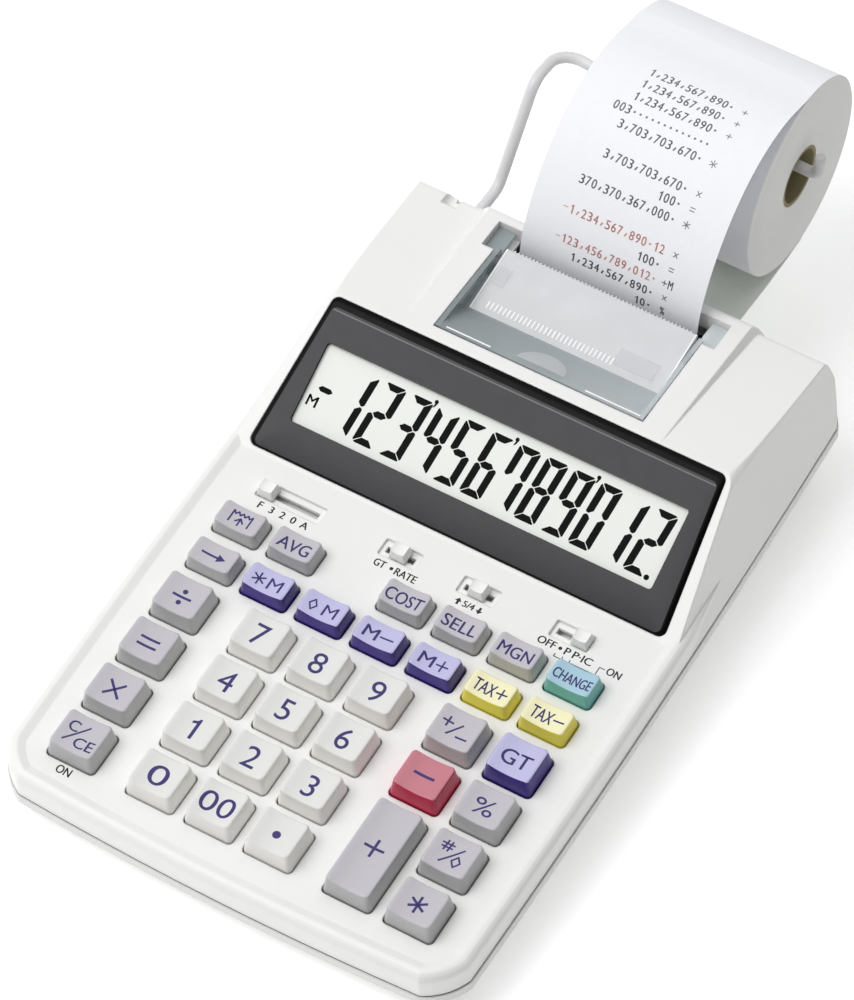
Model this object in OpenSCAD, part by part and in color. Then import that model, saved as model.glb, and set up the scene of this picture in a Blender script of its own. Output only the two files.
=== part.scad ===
// Desktop printing calculator with a paper roll on a folding wire arm.
// +X is the user's right, +Y runs to the back, +Z is up; the desk is z = 0.
// The origin is on the desk, under the middle of the whole object with its roll. The drawings
// below measure y from the middle of the case, and placed() moves them to that origin.

/* [Body] */
// Width of the case at its widest line
body_w = 148; // [146:1:152]
// Depth of the case, front to back
body_d = 227.5; // [226:0.5:232]
// Height of the printer deck above the desk
body_h = 51.5; // [50:0.5:54]
// Height of the seam between the cases at the front edge
seam_z = 9.5; // [8.5:0.5:10]
// Height of the keypad deck above the seam, square to the deck
deck_rise = 8.3; // [8:0.1:9]
// Slope of the keypad deck and of the seam, degrees
deck_angle = 4; // [3.5:0.1:4.5]
// Thickness of the case walls
wall = 2.2; // [1.8:0.1:2.4]

/* [Keys] */
// Width of a number key at its base
key_w = 14.8; // [14:0.1:15]
// Depth of a number key at its base
key_d = 13.4; // [12.8:0.1:13.6]
// Width of a small key at its base
small_key_w = 14.4; // [14:0.1:14.6]
// Depth of a small key at its base
small_key_d = 9.1; // [8.6:0.1:9.4]
// Height of a number key above the deck
key_h = 6.2; // [5.5:0.1:7]
// Height of a small key above the deck
small_key_h = 5; // [4.5:0.1:5.5]
// Gap between a key and its opening
key_gap = 0.45; // [0.4:0.05:0.6]

/* [Paper] */
// Outer radius of the paper roll
roll_r = 31; // [25:0.5:32]
// Width of the paper
paper_w = 57.5; // [56:0.5:58]
// Inner radius of the card core
core_r = 8.5; // [7:0.5:9]
// Radius of the coated wire of the arm
arm_r = 1.75; // [1.5:0.05:2]

/* [Hidden] */
$fn = 64;

// Places of the key columns from left to right, and of the seven small-key columns
COL = [-53, -27.9, -9.3, 9.3, 34.1, 53];
function small_col(i) = -53 + i * 106 / 6;
// Places of the key rows, front to back: four rows of number keys, then two of small keys
ROW = [-93.8, -76.55, -59.35, -42.25, -26.2, -12.35];
// Row of the slide switches
SWITCH_Y = 1.8;

// Case
front_y = -body_d / 2;
rear_y = body_d / 2;
corner_r = 19;
edge_r = 2.6;          // rounding of the rim's outer edge
rim_w = 4.6;           // rim around the sunken keypad deck
rim_sink = 0.9;        // depth of the deck below the rim
side_bow = 2.2;        // how far the sides fall in from their widest line
front_bow = 2.6;       // how far the front edge bulges
bow_y = -15;           // where the body is widest
shoulder_y = 50;       // where the rim's shoulder has faded into the hump
deck_z = seam_z + deck_rise;
floor_z = 2;           // underside of the lower case
floor_t = 2.4;

// Display slope: foot and head of the window's slope
ramp_y0 = 11.5;
ramp_y1 = 54.2;
ramp_z0 = deck_z + tan(deck_angle) * (ramp_y0 - front_y);
ramp_angle = atan2(body_h - ramp_z0, ramp_y1 - ramp_y0);
ramp_len = (body_h - ramp_z0) / sin(ramp_angle);
window_t = 2.4;
window_proud = 0.7;
lcd_y = 23.7;           // middle of the display panel up the slope
window_bottom_w = 133;
window_top_w = 125.6;

// Printer well and cover
well_w = 67.2;
well_front_y = 58.2;
well_neck_y = 91.5;
well_rear_y = 101.5;
well_rear_w = 75;
plate_front = [73, 45.4];
plate_rear = [94.6, 49];
plate_t = 1.3;
cover_gap = 0.35;

// Paper path, arm and roll
arm_x = -50;
pivot = [109.5, 37];
rod = [157.3, 60];
roll_c = [rod[0], rod[1] - core_r + arm_r + 0.05];
core_t = 1.2;
paper_t = 0.3;
platen = [101.5, 37];
platen_r = 3.5;
drum = [90.6, 37];
drum_r = 6;
inker = [78.6, 35.6];
inker_r = 5.4;

// Underside of the board in the deck's frame
board_z = -10.6;
board_t = 1.6;

inlet_z = 17.5;
jack = [46, rear_y - 2.6, 14.4];

// Battery bay
door_w = 107.4;
door_y0 = 14;
door_d = 34;
door_travel = 12;
door_t = 1.3;
cell_r = 7.1;
cell_l = 50;

// Middle of the whole object, from the front of the case to the back of the roll
mid_y = (front_y + rod[0] + roll_r) / 2;

SCREWS = [[-64.5, -104], [64.5, -104], [-66, 1], [66, 1], [-61, 96], [61, 96]];
FEET = [[-56, -96], [56, -96], [-54, 98], [54, 98]];

WHITE = [0.93, 0.93, 0.92];
GREY = [0.80, 0.80, 0.83];
INDIGO = [0.42, 0.38, 0.72];
RED = [0.80, 0.30, 0.38];
YELLOW = [0.93, 0.89, 0.35];
TEAL = [0.50, 0.75, 0.75];

// ---------- helpers ----------

// Moves a finished piece to the object's origin
module placed() {
    translate([0, -mid_y, 0]) children();
}

// Height of the seam at depth y
function seam_at(y) = seam_z + tan(deck_angle) * (y - front_y);

// Puts children in the deck's own frame: z = 0 on the keypad deck, y still measured at the front edge
module on_deck() {
    translate([0, front_y, deck_z]) rotate([deck_angle, 0, 0]) translate([0, -front_y, 0]) children();
}

// Puts children in the display slope's frame: y runs up the slope from its foot, z is square to it
module on_ramp() {
    translate([0, ramp_y0, ramp_z0]) rotate([ramp_angle, 0, 0]) children();
}

// Half width of the body at depth y, and the bulge of the front edge at x
function half_w(y) = body_w / 2 - side_bow * pow((y - bow_y) / (rear_y - bow_y), 2);
function front_at(x) = front_y + front_bow * pow(2 * x / body_w, 2);

// Plan of the body, moved in by inset, with bowed sides and front
module plan(inset = 0) {
    steps = 12;
    intersection() {
        polygon(concat(
            [for (i = [0 : steps]) let (y = front_y + body_d * i / steps) [half_w(y) - inset, y]],
            [for (i = [steps : -1 : 0]) let (y = front_y + body_d * i / steps) [-half_w(y) + inset, y]]));
        polygon(concat(
            [for (i = [0 : steps]) let (x = -body_w / 2 + body_w * i / steps) [x, front_at(x) + inset]],
            [[body_w, rear_y - inset], [-body_w, rear_y - inset]]));
        offset(r = corner_r - inset, $fn = 48) square(
            [body_w - 2 * corner_r, body_d - 2 * corner_r], center = true);
    }
}

// Extrudes a drawing of (y, z) points across the body
module across(w) {
    rotate([90, 0, 90]) translate([0, 0, -w / 2]) linear_extrude(w) children();
}

// Extrudes a drawing of (x, z) points from y0 to y1
module along(y0, y1) {
    translate([0, y1, 0]) rotate([90, 0, 0]) linear_extrude(y1 - y0) children();
}

module rounded_square(w, d, r) {
    offset(r = r, $fn = 24) square([w - 2 * r, d - 2 * r], center = true);
}

// Rounds the outer and inner corners of a drawing
module soften(outer, inner) {
    offset(r = -inner, $fn = 48) offset(r = inner + outer, $fn = 48) offset(r = -outer, $fn = 48) children();
}

// Round bar along X
module bar_x(r, x0, x1, at) {
    translate([x0, at[0], at[1]]) rotate([0, 90, 0]) cylinder(r = r, h = x1 - x0);
}

// ---------- cases ----------

// Keypad part of the upper case: a slab with a rounded rim, its deck sunk inside the rim
module keypad_slab() {
    on_deck() difference() {
        hull() {
            translate([0, 0, -deck_rise]) linear_extrude(1) plan(0.5);
            for (a = [0 : 22.5 : 90])
                translate([0, 0, rim_sink - edge_r - 0.01 + edge_r * sin(a)])
                    linear_extrude(0.01) plan(0.5 + edge_r * (1 - cos(a)));
        }
        hull() {
            linear_extrude(0.01) plan(rim_w + 1.2);
            translate([0, 0, rim_sink + 0.1]) linear_extrude(0.01) plan(rim_w - 1.2);
        }
        // the shoulder fades into the sides of the hump
        for (s = [-1, 1]) translate([0, 0, -20]) linear_extrude(60)
            polygon([[s * 80, ramp_y0], [s * body_w / 2, ramp_y0], [s * 69.3, shoulder_y], [0, shoulder_y],
                [0, rear_y + 5], [s * 80, rear_y + 5]]);
    }
}

// Side view of the hump; rear_drop lowers the rear end of its top
module hump_side(inset, rear_drop) {
    offset(delta = -inset) soften(2.5, 6) polygon([
        [-12, 0], [-12, ramp_z0 - 12], [ramp_y0 - 3, ramp_z0 - 0.6], [ramp_y0, ramp_z0],
        [ramp_y1, body_h], [105.5, body_h - 1.5 - rear_drop], [rear_y - 2.2, 20], [rear_y - 2.2, 0]]);
}

// Front view of the hump: its sides lean out towards the rim
module hump_front(inset) {
    foot_x = body_w / 2 - 0.6;
    offset(delta = -inset) soften(3.4, 0.5) polygon([
        [-foot_x, 0], [-foot_x, 20], [-64.6, body_h], [64.6, body_h], [foot_x, 20], [foot_x, 0]]);
}

module hump(inset = 0) {
    intersection() {
        across(160) hump_side(inset, 2.4);
        along(-20, 120) hump_front(inset);
        on_deck() translate([0, 0, -60]) linear_extrude(140) plan(0.5 + inset);
    }
    intersection() {
        across(160) hump_side(inset, 0);
        along(-20, 120) polygon([[-45.5 + inset, 0], [-45.5 + inset, 46], [-41 + inset, 52],
            [41 - inset, 52], [45.5 - inset, 46], [45.5 - inset, 0]]);
    }
}

// Everything above the seam between the cases, lowered by gap
module above_seam(gap = 0) {
    on_deck() translate([0, 0, -deck_rise - gap]) linear_extrude(80) square([200, 300], center = true);
}

module key_holes() {
    for (k = KEYS)
        translate([k[1], k[2], -8])
            linear_extrude(20) rounded_square(k[3] + 2 * key_gap, k[4] + 2 * key_gap, 1.6);
}

// The printer's well, open to the cover; wider at the rear where the paper comes out
module printer_well() {
    translate([-well_w / 2, well_front_y, 20]) cube([well_w, well_neck_y - well_front_y + 1, 60]);
    translate([-well_rear_w / 2, well_neck_y, 20]) cube([well_rear_w, well_rear_y - well_neck_y, 60]);
}

module upper_case() color(WHITE) {
    upper_shell();
    // shelf on both sides of the paper's way out
    for (s = [-1, 1]) translate([s > 0 ? 30.6 : -well_rear_w / 2 - 0.4, well_neck_y - 0.4, 44.2])
        cube([well_rear_w / 2 + 0.4 - 30.6, well_rear_y - well_neck_y + 0.8, 1]);
}

module upper_shell() difference() {
    union() {
        difference() {
            intersection() {
                union() {
                    keypad_slab();
                    hump();
                }
                above_seam();
            }
            // hollow under the keypad deck, and inside the hump
            on_deck() intersection() {
                translate([0, 0, -deck_rise - 1]) linear_extrude(deck_rise + 1 - wall) plan(wall + 0.5);
                translate([-100, -150, -60]) cube([200, 150 + ramp_y0 + 2, 80]);
            }
            difference() {
                hump(wall);
                on_deck() translate([-100, -150, -60]) cube([200, 150 + ramp_y0 - 3, 80]);
            }
        }
        // walls down from the deck around the printer's well
        for (s = [-1, 1])
            translate([s * (well_w / 2 + 0.9) - 0.9, well_front_y - 1.8, 44]) cube([1.8, well_neck_y - well_front_y + 1.8, 5.2]);
        translate([-well_w / 2 - 1.8, well_front_y - 1.8, 44]) cube([well_w + 3.6, 1.8, 5.6]);
        for (s = [-1, 1]) {
            translate([s * (well_rear_w / 2 + 0.8) - 0.8, well_neck_y - 1.6, 44])
                cube([1.6, well_rear_y - well_neck_y + 3.2, 5]);
            translate([s > 0 ? well_w / 2 : -well_rear_w / 2 - 1.6, well_neck_y - 1.6, 44])
                cube([(well_rear_w - well_w) / 2 + 1.6, 1.6, 5]);
        }
        translate([-well_rear_w / 2 - 1.6, well_rear_y, 44]) cube([well_rear_w + 3.2, 1.6, 5]);
        // pillars for the screws
        for (s = SCREWS) intersection() {
            translate([s[0], s[1], 0]) cylinder(r = 3, h = 60);
            union() {
                on_deck() translate([0, 0, -deck_rise + 0.2]) linear_extrude(deck_rise - 1) plan(2);
                hump(1);
            }
            above_seam(-0.2);
        }
        // block that carries the arm's pivot
        intersection() {
            translate([-60.5, 102, 29.6]) cube([21, 12, 20]);
            hump(0.4);
        }
    }
    on_deck() {
        key_holes();
        for (k = KNOBS) translate([(k[2] + k[3]) / 2, SWITCH_Y, -10])
            linear_extrude(20) square([k[3] - k[2] + 3.2, 1.9], center = true);
        for (k = KNOBS) translate([(k[2] + k[3]) / 2, SWITCH_Y, -0.9])
            linear_extrude(5) rounded_square(k[3] - k[2] + 6, 5.7, 0.6);
    }
    // seat of the display window, and the opening for the display behind it
    on_ramp() {
        translate([0, 0, window_proud - window_t]) linear_extrude(10) window_shape(0.15);
        translate([0, lcd_y, -12]) linear_extrude(30) rounded_square(120, 27, 1);
    }
    printer_well();
    for (s = SCREWS) translate([s[0], s[1], 0]) cylinder(r = 1.35, h = seam_at(s[1]) + 5.6);
    // notch and bearing of the paper arm
    translate([arm_x - 3.6, 104.5, 31.5]) cube([7.2, 20, 30]);
    bar_x(arm_r + 0.2, arm_x - 8.2, arm_x + 8.2, pivot);
    translate([arm_x - 3.9, 100.8, 48]) rotate([-90, 0, 0]) cylinder(r = 2.6, h = 20);
}

module lower_case() color(WHITE) difference() {
    union() {
        difference() {
            // outside: flush with the seam, drawn in towards the desk
            hull() {
                on_deck() translate([0, 0, -deck_rise - 3.4]) linear_extrude(3.2) plan(0);
                translate([0, 0, floor_z]) linear_extrude(0.6) plan(6.5);
            }
            hull() {
                on_deck() translate([0, 0, -deck_rise - 3.4]) linear_extrude(8) plan(wall);
                translate([0, 0, floor_z + floor_t]) linear_extrude(0.6) plan(6.5 + wall);
            }
        }
        // posts under the pillars of the upper case
        for (s = SCREWS) intersection() {
            translate([s[0], s[1], floor_z + 1]) cylinder(r = 3.2, h = 60);
            on_deck() translate([-100, -200, -deck_rise - 60]) cube([200, 400, 60]);
        }
        // posts under the board
        for (x = [-45, 45], y = [-86, -8]) intersection() {
            translate([x, y, floor_z + 1]) cylinder(r = 2.6, h = 40);
            on_deck() translate([-100, -200, board_z - 60]) cube([200, 400, 60]);
        }
        // walls of the battery bay
        difference() {
            translate([-door_w / 2 - 1, door_y0 - 1, floor_z + 1])
                cube([door_w + 2, door_d + 2, 10]);
            translate([-cell_l - 2.2, door_y0 + 1.2, 0])
                cube([2 * cell_l + 4.4, door_d - 2.4, 60]);
        }
    }
    // bay opening, and the door's sliding recess under the floor
    translate([-cell_l - 2.2, door_y0 + 1.2, 0]) cube([2 * cell_l + 4.4, door_d - 2.4, 12]);
    translate([-door_w / 2 - 0.4, door_y0 - 0.4, -1]) cube([door_w + 0.8, door_d + door_travel + 0.8, floor_z + 1 + door_t + 0.4]);
    // screw holes with counterbores
    for (s = SCREWS) translate([s[0], s[1], -1]) {
        cylinder(r = 1.6, h = 60);
        cylinder(r = 3.05 - 0.2, h = floor_z + 1 + 1.6);
    }
    // paper inlet, open to the seam
    translate([-31, rear_y - 12, inlet_z]) cube([62, 20, 20]);
    // window for the adapter jack
    translate([jack[0] - 4.9, rear_y - 12, jack[2] - 4.9]) cube([9.8, 20, 9.8]);
}

// ---------- display ----------

module window_shape(extra = 0) {
    r = 2.2;
    offset(r = r + extra, $fn = 32) polygon([
        [-window_bottom_w / 2 + r, 1.2 + r], [window_bottom_w / 2 - r, 1.2 + r],
        [window_top_w / 2 - r, ramp_len - 0.6 - r], [-window_top_w / 2 + r, ramp_len - 0.6 - r]]);
}

module display_window() color([0.28, 0.28, 0.30]) on_ramp()
    translate([0, 0, window_proud - window_t]) linear_extrude(window_t) window_shape();

module lcd_panel() color([0.86, 0.88, 0.85]) on_ramp()
    translate([0, lcd_y, window_proud - window_t - 3]) linear_extrude(2.8) rounded_square(119, 26, 0.6);

// ---------- printer ----------

module printer_cover() color([0.55, 0.60, 0.62, 0.6]) {
    w = well_w - 2 * cover_gap;
    // smoked front slope with its thumb pad
    across(w) polygon([
        [well_front_y + cover_gap, 50.2], [well_front_y + cover_gap, 51.6], [well_front_y + 2.4, 51.4],
        [plate_front[0], plate_front[1] + 0.4], [plate_front[0] + 1.2, plate_front[1]],
        [plate_front[0] + 1, plate_front[1] - 1.2], [well_front_y + 2.2, 49.9]]);
    intersection() {
        translate([0, well_front_y + 2.6, 0]) cylinder(r = 8.2, h = 60);
        across(18) polygon([[well_front_y + 2, 51.8], [well_front_y + 11.2, 48.4],
            [well_front_y + 11.2, 45.6], [well_front_y + 2, 49.6]]);
    }
    // cheeks down both sides
    for (s = [-1, 1]) translate([s * (w / 2 - 0.7), 0, 0]) across(1.4) polygon([
        [well_front_y + cover_gap, 49.8], [well_front_y + cover_gap, 51.6], [well_neck_y + 1.5, 50.3],
        [well_neck_y + 1.5, 46.9], [plate_front[0], 43.2], [plate_front[0] - 6, 46]]);
    // ears beside the paper's way out
    for (s = [-1, 1]) translate([s > 0 ? w / 2 - 1.4 : -well_rear_w / 2 + cover_gap, well_neck_y + cover_gap, 46.9])
        cube([(well_rear_w - well_w) / 2 + 1.4, well_rear_y - well_neck_y - 2 * cover_gap, 1.3]);
    // clear tear plate with a toothed edge
    tear_plate();
}

module tear_plate() {
    across(61.4) polygon([plate_front + [0, -0.9], plate_front + [0, 0.4], plate_rear + [-0.5, 0.6],
        plate_rear, plate_rear + [-0.3, -plate_t + 0.4]]);
    // bridges to the cheeks
    for (s = [-1, 1]) translate([s * 31.8, 0, 0]) across(3)
        polygon([[plate_front[0] - 0.5, 44.4], [plate_front[0] - 0.5, 45.6],
            [plate_front[0] + 12, 47.1], [plate_front[0] + 12, 45.9]]);
    teeth = 48;
    for (i = [0 : teeth - 1])
        translate([-29 + 58 * (i + 0.5) / teeth, plate_rear[0] - 0.15, plate_rear[1] + 0.15])
            linear_extrude(0.35) polygon([[-0.45, 0], [0.45, 0], [0, 0.7]]);
}

module printer_frame() color([0.9, 0.9, 0.9]) {
    difference() {
        union() {
            for (x = [-36, 34.4]) translate([x, 0, 0]) rotate([90, 0, 90])
                linear_extrude(1.6) soften(2, 2) polygon([
                    [70, 9], [70, 41], [96, 42.5], [104.6, 40.2], [106, 24], [105.5, 9]]);
            translate([-36, 70, 9]) cube([72, 35, 1.6]);
            for (x = [-31, 31], y = [75, 100]) translate([x, y, floor_z + floor_t]) cylinder(r = 3, h = 5);
            // ribbed guide in front of the type wheels
            translate([-36, 80.4, 42]) cube([72, 3.6, 1.6]);
            for (i = [0 : 17]) translate([-31 + i * 2.2, 80.8, 43.2]) cube([1.1, 2.8, 1.1]);
            translate([18, 80, 43.2]) cube([9.5, 5, 1.3]);
        }
        bar_x(2.2, -40, 40, platen);
        bar_x(2.2, -40, 40, drum);
        bar_x(1.7, -40, 40, inker);
    }
    // paper guide under the platen
    across(62) polygon([[95.5, 24.2], [95.5, 25], [105.5, 23.6], [105.5, 22.8]]);
    for (s = [-1, 1]) translate([s * 29, 100, 9.5]) translate([-1.5, 0, 0]) cube([3, 3, 13.6]);
    // drive motor
    bar_x(8.6, -28, -4, [81, 20]);
    bar_x(2.6, -4.2, -2.2, [81, 20]);
    translate([-20, 77, 10]) cube([8, 8, 4]);
}

module toothed_wheel(r, t, teeth) {
    linear_extrude(t) difference() {
        circle(r = r);
        for (i = [0 : teeth - 1]) rotate(i * 360 / teeth) translate([r, 0]) square([1, r * PI / teeth], center = true);
    }
}

module feed_roller() color([0.25, 0.25, 0.25]) {
    bar_x(2, -38, 40.5, platen);
    for (x = [-27, -9, 9]) bar_x(platen_r, x, x + 15, platen);
    translate([36.6, platen[0], platen[1]]) rotate([0, 90, 0]) toothed_wheel(3.8, 3, 14);
}

module print_drum() color([0.75, 0.76, 0.78]) {
    bar_x(2, -37.5, 40.5, drum);
    for (i = [0 : 12]) translate([-25.6 + i * 4, drum[0], drum[1]]) rotate([0, 90, 0])
        toothed_wheel(drum_r - 0.02, 3.2, 12);
    translate([36.6, drum[0], drum[1]]) rotate([0, 90, 0]) toothed_wheel(6.4, 3, 24);
}

module ink_roller() color([0.2, 0.15, 0.35]) {
    bar_x(1.5, -37.5, 37.5, inker);
    bar_x(inker_r, -27, 27, inker);
    for (x = [-29.5, 27.5]) bar_x(inker_r - 0.6, x, x + 2, inker);
}

// ---------- paper ----------

// Round tube of radius r along the points P: one ring of corners at each point
module tube(P, r, sides = 16) {
    n = len(P);
    function dir(i) = let (d = P[min(i + 1, n - 1)] - P[max(i - 1, 0)]) d / norm(d);
    function side(i) = let (c = cross(dir(i), [1, -1, 1])) c / norm(c);
    ring = [for (i = [0 : n - 1], k = [0 : sides - 1])
        let (a = 360 * k / sides) P[i] + r * (cos(a) * side(i) + sin(a) * cross(dir(i), side(i)))];
    walls = [for (i = [0 : n - 2], k = [0 : sides - 1])
        let (a = i * sides + k, b = i * sides + (k + 1) % sides) [a, a + sides, b + sides, b]];
    polyhedron(points = ring, faces = concat(walls,
        [[for (k = [0 : sides - 1]) k]], [[for (k = [sides - 1 : -1 : 0]) (n - 1) * sides + k]]));
}

arm_bend = 7;
tip_bend = 3.2;
ARM_SIDE = [[pivot[0], pivot[1]], [114, 36.8], [119.1, 36.8], [120.95, 37.1], [122.65, 37.95], [123.9, 39.2],
    [139.3, 59.6], [140.55, 60.85], [142.25, 61.7], [144.1, 62], [146.4, 62]];
module paper_arm() color([0.88, 0.88, 0.89]) {
    bar_x(arm_r, arm_x - 8, arm_x + 8, pivot);
    tube(concat([for (p = ARM_SIDE) [arm_x, p[0], p[1]]],
        [for (a = [0 : 15 : 90]) [arm_x + arm_bend * (1 - cos(a)), rod[0] - arm_bend * (1 - sin(a)),
            rod[1] + 1.2 * pow(cos(a), 2)]],
        [for (a = [0 : 15 : 90]) [31.5 + tip_bend * sin(a), rod[0], rod[1] + tip_bend * (1 - cos(a))]],
        [[31.5 + tip_bend, rod[0], rod[1] + tip_bend + 4.5]]), arm_r);
}

module paper_roll() {
    color([0.96, 0.96, 0.95]) difference() {
        bar_x(roll_r, -paper_w / 2, paper_w / 2, roll_c);
        bar_x(core_r + core_t, -40, 40, roll_c);
    }
    color([0.62, 0.52, 0.38]) difference() {
        bar_x(core_r + core_t, -paper_w / 2 + 0.2, paper_w / 2 - 0.2, roll_c);
        bar_x(core_r, -40, 40, roll_c);
    }
}

// Sheet of the paper's width along the (y, z) points P
module sheet(P, w) {
    n = len(P);
    function dir(i) = let (d = P[min(i + 1, n - 1)] - P[max(i - 1, 0)]) d / norm(d);
    function side(i, s) = P[i] + s * paper_t / 2 * [-dir(i)[1], dir(i)[0]];
    across(w) polygon(concat([for (i = [0 : n - 1]) side(i, 1)], [for (i = [n - 1 : -1 : 0]) side(i, -1)]));
}

module feed_paper() color([0.93, 0.94, 0.90])
    sheet([[roll_c[0], roll_c[1] - roll_r - 0.35], [140, 22.1], [128, 22.9], [114, 24.2]], paper_w);

// Inner stretch up past the platen, then the printed strip that bows back over the roll
STRIP = [[98, 27.6], [97.5, 31], [97.5, 40], [97.9, 46], [99.2, 52.5], [102.2, 60], [106.6, 67.4], [112.3, 74.4],
    [119, 80.2], [126.6, 84.6], [135, 87.2], [143.5, 87.8], [151, 86.8], [157.5, 85.15], [165, 83.9]];
module paper_strip() color([0.97, 0.97, 0.98]) sheet(STRIP, paper_w);

// ---------- electronics and bottom ----------

module main_board() color([0.20, 0.45, 0.28]) on_deck() {
    difference() {
        translate([-61, -101, board_z]) cube([122, 106, board_t]);
        for (s = SCREWS) translate([s[0], s[1], -20]) cylinder(r = 4.2, h = 30);
    }
    // housings of the slide switches
    for (k = KNOBS) translate([k[2] - 6, SWITCH_Y - 3.2, board_z + board_t - 0.1])
        cube([k[3] - k[2] + 12, 6.4, -board_z - board_t - 3.3]);
    translate([-8, -40, board_z - 1.8]) cube([14, 14, 2]);
    for (x = [-34, -25, 22, 34]) translate([x, -10, board_z - 2.3]) cube([5, 5, 2.5]);
}

module key_mat() color([0.75, 0.76, 0.78]) on_deck() {
    translate([-60, -100.5, board_z + board_t]) cube([120, 94.5, 0.9]);
    for (k = KEYS) translate([k[1], k[2], board_z + board_t + 0.7]) cylinder(r = 3.2, h = 0.6);
}

module battery_door() color(WHITE)
    difference() {
        translate([-door_w / 2, door_y0, floor_z + 0.1]) cube([door_w, door_d, door_t]);
        for (i = [0 : 4]) translate([-9, door_y0 + 23 + i * 1.8, floor_z]) cube([18, 0.9, 0.5]);
    }

module batteries() color([0.25, 0.28, 0.32])
    for (y = [0, 1], x = [-1, 0]) translate([x * (cell_l + 0.6) + 0.5, door_y0 + 9.4 + y * 15.2, floor_z + door_t + cell_r + 0.4]) {
        rotate([0, 90, 0]) cylinder(r = cell_r, h = cell_l - 1.4);
        translate([cell_l - 1.5, 0, 0]) rotate([0, 90, 0]) cylinder(r = 2.7, h = 1.2);
    }

module rubber_feet() color([0.2, 0.2, 0.2])
    for (f = FEET) translate([f[0], f[1], 0]) rotate_extrude() polygon([[0, 0], [4.4, 0], [5, 0.6], [5, floor_z], [0, floor_z]]);

module case_screws() color([0.7, 0.7, 0.72])
    for (s = SCREWS) translate([s[0], s[1], floor_z + 0.4]) {
        difference() {
            cylinder(r = 2.6, h = 1.2);
            for (a = [0, 90]) rotate(a) translate([-1.5, -0.25, -1]) cube([3, 0.5, 1.7]);
        }
        cylinder(r = 1.25, h = seam_at(s[1]) + 4.8 - floor_z - 0.4);
    }

module dc_jack() color([0.12, 0.12, 0.13]) translate(jack) {
    difference() {
        translate([-4.6, -13, -4.6]) cube([9.2, 13, 9.2]);
        rotate([90, 0, 0]) translate([0, 0, -1]) cylinder(r = 2.8, h = 10);
    }
    rotate([90, 0, 0]) translate([0, 0, 0.6]) cylinder(r = 1.05, h = 9.4);
    // stand on the floor of the case
    translate([-3, -13, floor_z + floor_t - jack[2]]) cube([6, 4.5, 6]);
}

// ---------- keys and switches ----------

// Each key: node, x, y, width and depth at its base, height, colour
function big(name, col, row, c = WHITE) = [name, COL[col], ROW[row], key_w, key_d, key_h, c];
function small(name, col, row, c = GREY) = 
    [name, small_col(col), ROW[row], small_key_w, small_key_d, small_key_h, c];
KEYS = [
    big("key_clear", 0, 0, GREY), big("key_0", 1, 0), big("key_00", 2, 0), big("key_point", 3, 0),
    big("key_total", 5, 0, GREY),
    big("key_multiply", 0, 1, GREY), big("key_1", 1, 1), big("key_2", 2, 1), big("key_3", 3, 1),
    ["key_plus", COL[4], (ROW[0] + ROW[1]) / 2, key_w, key_d + ROW[1] - ROW[0], key_h, GREY],
    big("key_non_add", 5, 1, GREY),
    big("key_equals", 0, 2, GREY), big("key_4", 1, 2), big("key_5", 2, 2), big("key_6", 3, 2),
    big("key_minus", 4, 2, RED), big("key_percent", 5, 2, GREY),
    big("key_divide", 0, 3, GREY), big("key_7", 1, 3), big("key_8", 2, 3), big("key_9", 3, 3),
    big("key_sign", 4, 3, GREY), big("key_grand_total", 5, 3, INDIGO),
    small("key_shift", 0, 4), small("key_memory_total", 1, 4, INDIGO),
    small("key_memory_subtotal", 2, 4, INDIGO), small("key_memory_minus", 3, 4, INDIGO),
    small("key_memory_plus", 4, 4, INDIGO), small("key_tax_plus", 5, 4, YELLOW),
    small("key_tax_minus", 6, 4, YELLOW),
    small("key_feed", 0, 5), small("key_average", 1, 5), small("key_cost", 3, 5),
    small("key_sell", 4, 5), small("key_margin", 5, 5), small("key_change", 6, 5, TEAL)
];

// Hollow of a key's top, and how far its flange reaches in all
dish_r = 20;
dish_sag = 0.8;
flange = 1.6;

// One key: a tapered cap with a dished top, a skirt through the deck and a flange that holds it in
module key(k) color(k[6]) on_deck() translate([k[1], k[2], 0]) {
    taper = 0.26 * k[5];
    difference() {
        hull() {
            translate([0, 0, 0.4]) linear_extrude(0.1) rounded_square(k[3], k[4], 1.3);
            translate([0, 0, k[5] - 0.1]) linear_extrude(0.1) rounded_square(k[3] - taper, k[4] - taper, 1.1);
        }
        translate([0, 0, k[5] + dish_r - dish_sag]) rotate([90, 0, 0]) cylinder(r = dish_r, h = 60, center = true);
    }
    translate([0, 0, -3.8]) linear_extrude(4.3) rounded_square(k[3], k[4], 1.3);
    translate([0, 0, -3.7]) linear_extrude(1) square([k[3], k[4]] + [flange, flange], center = true);
    translate([0, 0, -4.9]) cylinder(r = 2.6, h = 2);
}

// Each slide switch: node, knob's place now, left end and right end of its travel
KNOBS = [
    ["knob_decimal", -53, -53, -38.3],
    ["knob_rate", -10.2, -13.1, -7.3],
    ["knob_rounding", 14.9, 12, 17.8],
    ["knob_power", 47.6, 41.4, 47.6]
];

module knob(k) color(WHITE) on_deck() translate([k[1], SWITCH_Y, 0]) {
    difference() {
        hull() {
            translate([0, 0, -0.3]) linear_extrude(0.1) rounded_square(5.4, 4.8, 0.4);
            translate([0, 0, 2.9]) linear_extrude(0.1) rounded_square(4.2, 3.6, 0.4);
        }
        translate([0, 0, 7.4]) rotate([90, 0, 0]) cylinder(r = 5, h = 10, center = true);
    }
    translate([-1.2, -0.65, -2.9]) cube([2.4, 1.3, 3]);
    translate([-1.9, -1.5, -3.1]) cube([3.8, 3, 0.7]);
}

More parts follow.
